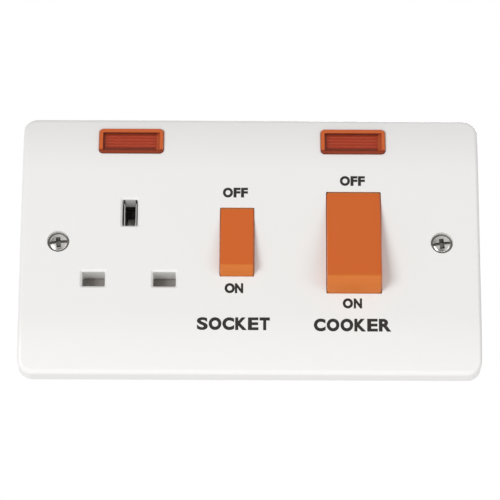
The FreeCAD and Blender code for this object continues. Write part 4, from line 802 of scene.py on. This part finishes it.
def lensInside(name, x):
    # fine ribs behind the window, with dark bars at the top, left and bottom for painted shade and a pale bar at
    # the right for painted light
    z, w, h = neon["z"], neon["w"] - 2 * lens["wall"], neon["h"] - 2 * lens["wall"]
    y = plate["front"] - neon["rise"] + lens["wall"] + lens["behind"]
    bm = bmesh.new()
    bmesh.ops.create_grid(bm, x_segments=1, y_segments=2 * lens["ribs"], size=0.5,
                          matrix=Matrix.Rotation(math.pi / 2, 4, "X"))
    bmesh.ops.scale(bm, vec=at(w, 1.0, h), verts=bm.verts[:])
    rows = sorted({round(v.co.z, 7) for v in bm.verts})
    hills = [v for v in bm.verts if rows.index(round(v.co.z, 7)) % 2]
    bmesh.ops.translate(bm, vec=at(0, lens["ribDepth"], 0), verts=hills)
    backs = newVerts(bmesh.ops.extrude_face_region(bm, geom=bm.faces[:]))
    bmesh.ops.translate(bm, vec=at(0, lens["ribT"], 0), verts=backs)
    bmesh.ops.translate(bm, vec=at(x, y + lens["ribStart"], z), verts=bm.verts[:])
    ribs = set(bm.faces)
    trim, barT, step = lens["trim"], lens["barT"], lens["barStep"]
    left, right, low, high = x - w / 2 + trim, x + w / 2 - trim, z - h / 2 + trim, z + h / 2 - trim
    # painted shade: dark bars along the top, the left and the bottom
    addBox(bm, (left, right - lens["lineShort"]), (y, y + barT), (high - lens["line"], high))
    addBox(bm, (left, left + lens["line"]), (y + step, y + barT + step), (low, high))
    addBox(bm, (left, right - lens["bandShort"]), (y, y + barT), (low, low + lens["band"]))
    for f in bm.faces:
        f.material_index = 0 if f in ribs else 1
    # painted light: a pale bar down the right side
    pale = addBox(bm, (right - lens["pale"], right), (y, y + barT), (low, high))
    for f in {f for v in pale for f in v.link_faces}:
        f.material_index = 2
    tidyNormals(bm)
    bendFace(bm, y + lens["bendTo"])
    materials = [lensRib, lensShade, lensPaintedLight]
    finishPiece(name + "_lens_ribs", bm, materials, "unit", angle=lens["ribAngle"])
    # painted shade: a dark sheet behind the ribs stands for the dark inside of the lens
    screen = bmesh.new()
    addBox(screen, (left, right), [neon["seat"] - ahead for ahead in lens["screen"]], (low, high))
    roundOff(screen, screen.edges[:], lens["screenEdge"], 2)
    finishPiece(name + "_lens_screen", screen, [lensShade], "unit")


for which, where in zip(("socket", "cooker"), neon["x"]):
    lensCap(which, where)
    lensInside(which, where)
print("lenses made")


words = [
    ("OFF", -4.7, 16.57, 7.9, 3.3), ("ON", -5.0, -15.45, 5.8, 3.3),
    ("OFF", 32.3, 20.67, 7.9, 3.3), ("ON", 32.0, -20.33, 6.0, 3.3),
    ("SOCKET", -5.1, -27.13, 22.7, 4.1), ("COOKER", 32.0, -27.42, 24.1, 4.1),
]  # word, middle, width and capital height
letters = {
    "O": (0.96, 0.058), "F": (0.66, 0.05), "N": (0.78, 0.052), "S": (0.82, 0.038), "C": (0.89, 0.056),
    "K": (0.89, 0.048), "E": (0.80, 0.04), "T": (0.78, 0.05), "R": (0.94, 0.046),
}  # width against height, and how much bolder than the plain font
printing = {"lift": 0.004, "thick": 0.04}


def letterShape(letter):
    curve = bpy.data.curves.new("letter", "FONT")
    curve.body, curve.size, curve.offset = letter, 1.0, letters[letter][1]
    holder = addObject("letter", curve)
    flat = bakedMesh(holder)
    bpy.data.objects.remove(holder)
    return flat


def buildWords():
    bm = bmesh.new()
    upright = Matrix.Rotation(math.pi / 2, 4, "X")
    for text, x, z, w, h in words:
        wide = [letters[one][0] * h for one in text]
        gap = (w - sum(wide)) / (len(text) - 1)
        left = x - w / 2
        for one, size in zip(text, wide):
            flat = letterShape(one)
            xs = [v.co.x for v in flat.vertices]
            ys = [v.co.y for v in flat.vertices]
            middle = Matrix.Translation((-(min(xs) + max(xs)) / 2, -(min(ys) + max(ys)) / 2, 0))
            fit = Matrix.Diagonal((size * mm / (max(xs) - min(xs)), h * mm / (max(ys) - min(ys)), 1.0, 1.0))
            stand = Matrix.Translation(at(left + size / 2, plate["front"] - printing["lift"], z))
            flat.transform(stand @ upright @ fit @ middle)
            pourMesh(bm, flat)
            left += size + gap
    bmesh.ops.remove_doubles(bm, verts=bm.verts[:], dist=touch["fine"])
    tops = newVerts(bmesh.ops.extrude_face_region(bm, geom=bm.faces[:]))
    bmesh.ops.translate(bm, vec=at(0, -printing["thick"], 0), verts=tops)
    tidyNormals(bm)
    bendFace(bm, 0.0)
    finishPiece("printed_words", bm, [ink], "unit", weighted=False)


buildWords()
print("words made")


def nodesEnding(*endings):
    return [name for name in frame["nodes"] if name.endswith(endings)]


resistors = ["socket_neon_resistor", "cooker_neon_resistor"]
resistorMiddles = [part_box(name)[1].x - resistor["length"] / 2 * mm for name in resistors]
strips = nodesEnding("_contact", "_bar", "_link", "_terminal")
carried = [
    (basePlastic, ["rear_base", "socket_neon_holder", "cooker_neon_holder"]),
    (carrierShadeGrey, ["shutter_carrier"]),
    (shutterShaded, ["safety_shutter"]),
    (zincSteel, ["base_screws", "carrier_screws", "power_terminal_screws", "earth_terminal_screws"]),
    (springSteel, nodesEnding("_spring")),
    (brass, [name for name in strips if name != "earth_contact"]),
    (tinned, ["earth_contact"]),
    (glass, ["socket_neon_lamp", "cooker_neon_lamp"]),
    (liveLead, ["socket_neon_live_lead", "cooker_neon_live_lead"]),
    (neutralLead, ["socket_neon_neutral_lead", "cooker_neon_neutral_lead"]),
    (plungerNylon, nodesEnding("_plunger")),
    (resistorBody(resistorMiddles), resistors),
]  # nodes whose shape is right, by finish
bodyOf = {n: body for body, members in frame["record"]["behaviour"]["bodies"].items() for n in members}
copyAngle = 30.0
rampFrom = 3.0  # height from which the shutter is its ramp


def smoothCopy(name, material):
    bm = bmesh.new()
    bm.from_mesh(frame["nodes"][name].data)
    bmesh.ops.remove_doubles(bm, verts=bm.verts[:], dist=touch["merge"])
    return finishPiece(name + "_finish", bm, [material], bodyOf[name], [name], copyAngle)


def squashSpring(spring):
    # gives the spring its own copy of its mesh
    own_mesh(spring)


finished = {name: smoothCopy(name, material) for material, names in carried for name in names}
shutter = finished["safety_shutter"].data
shutter.materials.append(rampPlastic)
for face in shutter.polygons:
    face.material_index = 1 if face.center.z > rampFrom * mm else 0  # the ramp keeps the white; the blades below take the darker grey, painted shade
for joint in frame["joints"]:
    for one in joint.get("deforming_nodes", []):
        squashSpring(finished[one["node"]])


earthTip = {"xs": (1.65, 2.05), "ys": (-6.6, 4.2), "zs": (5.95, 13.6), "edge": 0.08, "shadeSheet": 0.06,
            "shadeSheetY": (-8.2, -2.1), "shadeSheetLow": 0.6, "shadeSheetEdge": 0.02, "clear": 0.02}


def buildEarthTips():
    # leaf tips that reach forward into the earth aperture, and thin dark sheets along both side walls and in the
    # ceiling corners, painted shade
    x, z, (w, h) = socketAt["x"], socketAt["earthZ"], socketAt["earth"]
    near, far = earthTip["xs"]
    bm = bmesh.new()
    for way in (-1, 1):
        addBox(bm, span(x, way, near, far), earthTip["ys"], earthTip["zs"])
    roundOff(bm, bm.edges[:], earthTip["edge"], 2)
    finishPiece("earth_leaf_tips", bm, [tinned], "unit")
    # painted shade: thin dark sheets inside the earth aperture
    bm = bmesh.new()
    thick, ys = earthTip["shadeSheet"], earthTip["shadeSheetY"]
    side, roof = w / 2 - earthTip["clear"], z + h / 2 - earthTip["clear"]
    for way in (-1, 1):
        addBox(bm, span(x, way, side, side - thick), ys, (z - h / 2 + earthTip["shadeSheetLow"], roof))
        addBox(bm, span(x, way, near, side), ys, (roof - thick, roof))
    roundOff(bm, bm.edges[:], earthTip["shadeSheetEdge"], 2)
    finishPiece("earth_aperture_painted_shade", bm, [carrierShadeGrey], "unit")


buildEarthTips()
print("inner pieces finished")


view = {"place": (0.47, -902.6, -329.5), "target": (-0.02, -9.0, -2.72), "roll": 0.25, "lens": 218.2,
        "sensor": 36.0, "clip": (0.01, 50.0)}


def aim(place, target, roll=0.0):
    forward = (target - place).normalized()
    right = forward.cross(Vector((0, 0, 1))).normalized()
    up = right.cross(forward)
    turn = math.radians(roll)
    across = right * math.cos(turn) + up * math.sin(turn)
    over = up * math.cos(turn) - right * math.sin(turn)
    axes = Matrix((across, over, -forward)).transposed().to_4x4()
    return Matrix.Translation(place) @ axes


def addCamera():
    data = bpy.data.cameras.new("camera")
    data.lens, data.sensor_width = view["lens"], view["sensor"]
    data.clip_start, data.clip_end = view["clip"]
    camera = addObject("camera", data)
    camera.matrix_world = aim(at(*view["place"]), at(*view["target"]), view["roll"])
    bpy.context.scene.camera = camera


lamps = {
    "key": {"place": (-1520.0, -2030.0, -360.0), "size": (1200.0, 1200.0), "power": 35.4},
    "low": {"place": (60.0, -760.0, -580.0), "size": (900.0, 400.0), "power": 1.1},
    "fill": {"place": (1500.0, -1300.0, -200.0), "size": (900.0, 900.0), "power": 6.0},
    "rear": {"place": (700.0, 1300.0, 1500.0), "size": (1200.0, 1200.0), "power": 28.0},
}


def addLamps():
    for name, one in lamps.items():
        data = bpy.data.lights.new(name, "AREA")
        data.shape, data.size, data.size_y = "RECTANGLE", one["size"][0] * mm, one["size"][1] * mm
        data.energy = one["power"]
        lamp = addObject(name, data)
        lamp.matrix_world = aim(at(*one["place"]), at(0, plate["front"], 0))


# room light from straight below to straight above, what gloss shows from left to right and over
# the table, and a dark patch round the camera; the backdrop behind the part is white
backdrop = {
    "room": [(0.0, 1.0), (0.12, 0.9), (0.24, 0.62), (0.36, 0.45),
             (0.5, 0.38), (0.62, 0.39), (0.8, 0.39), (1.0, 0.25)],
    "mirror": [(0.1, 0.05), (0.26, 0.1), (0.4, 0.6), (0.7, 0.7), (0.9, 0.9)],
    "table": [(0.1, 2.0), (0.32, 1.0)],
    "dim": [(0.93, 1.0), (0.965, 0.1)],
    "white": (1.0, 1.0, 1.0, 1.0),
}


def greys(name):
    return [(place, (level, level, level, 1.0)) for place, level in backdrop[name]]


def addWorld():
    world = bpy.data.worlds.new("studio")
    world.use_nodes = True
    bpy.context.scene.world = world
    tree = world.node_tree
    way = Sock(tree, tree.nodes.new("ShaderNodeTexCoord").outputs["Generated"])
    side, deep, up = [way.node("ShaderNodeSeparateXYZ", None, {0: way}, axis) for axis in range(3)]
    behind = deep > 0.0
    height, across = up * 0.5 + 0.5, side * 0.5 + 0.5
    lensWay = Vector(view["place"]).normalized()
    facing = way.node("ShaderNodeVectorMath", {"operation": "DOT_PRODUCT"}, {0: way, 1: lensWay}, 1)
    dim = facing.ramp(greys("dim"))
    room = height.ramp(greys("room"))
    mirror = across.ramp(greys("mirror")) * height.ramp(greys("table"))
    path = tree.nodes.new("ShaderNodeLightPath")
    camera, glossy, through = [Sock(tree, path.outputs["Is " + kind + " Ray"])
                               for kind in ("Camera", "Glossy", "Transmission")]
    seen = glossy.maths("MAXIMUM", glossy, through)
    shown = camera.maths("MAXIMUM", camera, behind * seen)
    front = seen.mix(room * dim, mirror * dim)
    tree.links.new(shown.mix(front, backdrop["white"]).socket, tree.nodes["Background"].inputs["Color"])


addCamera()
addLamps()
addWorld()
bpy.context.scene.view_settings.view_transform = "Standard"
print("camera and light set")
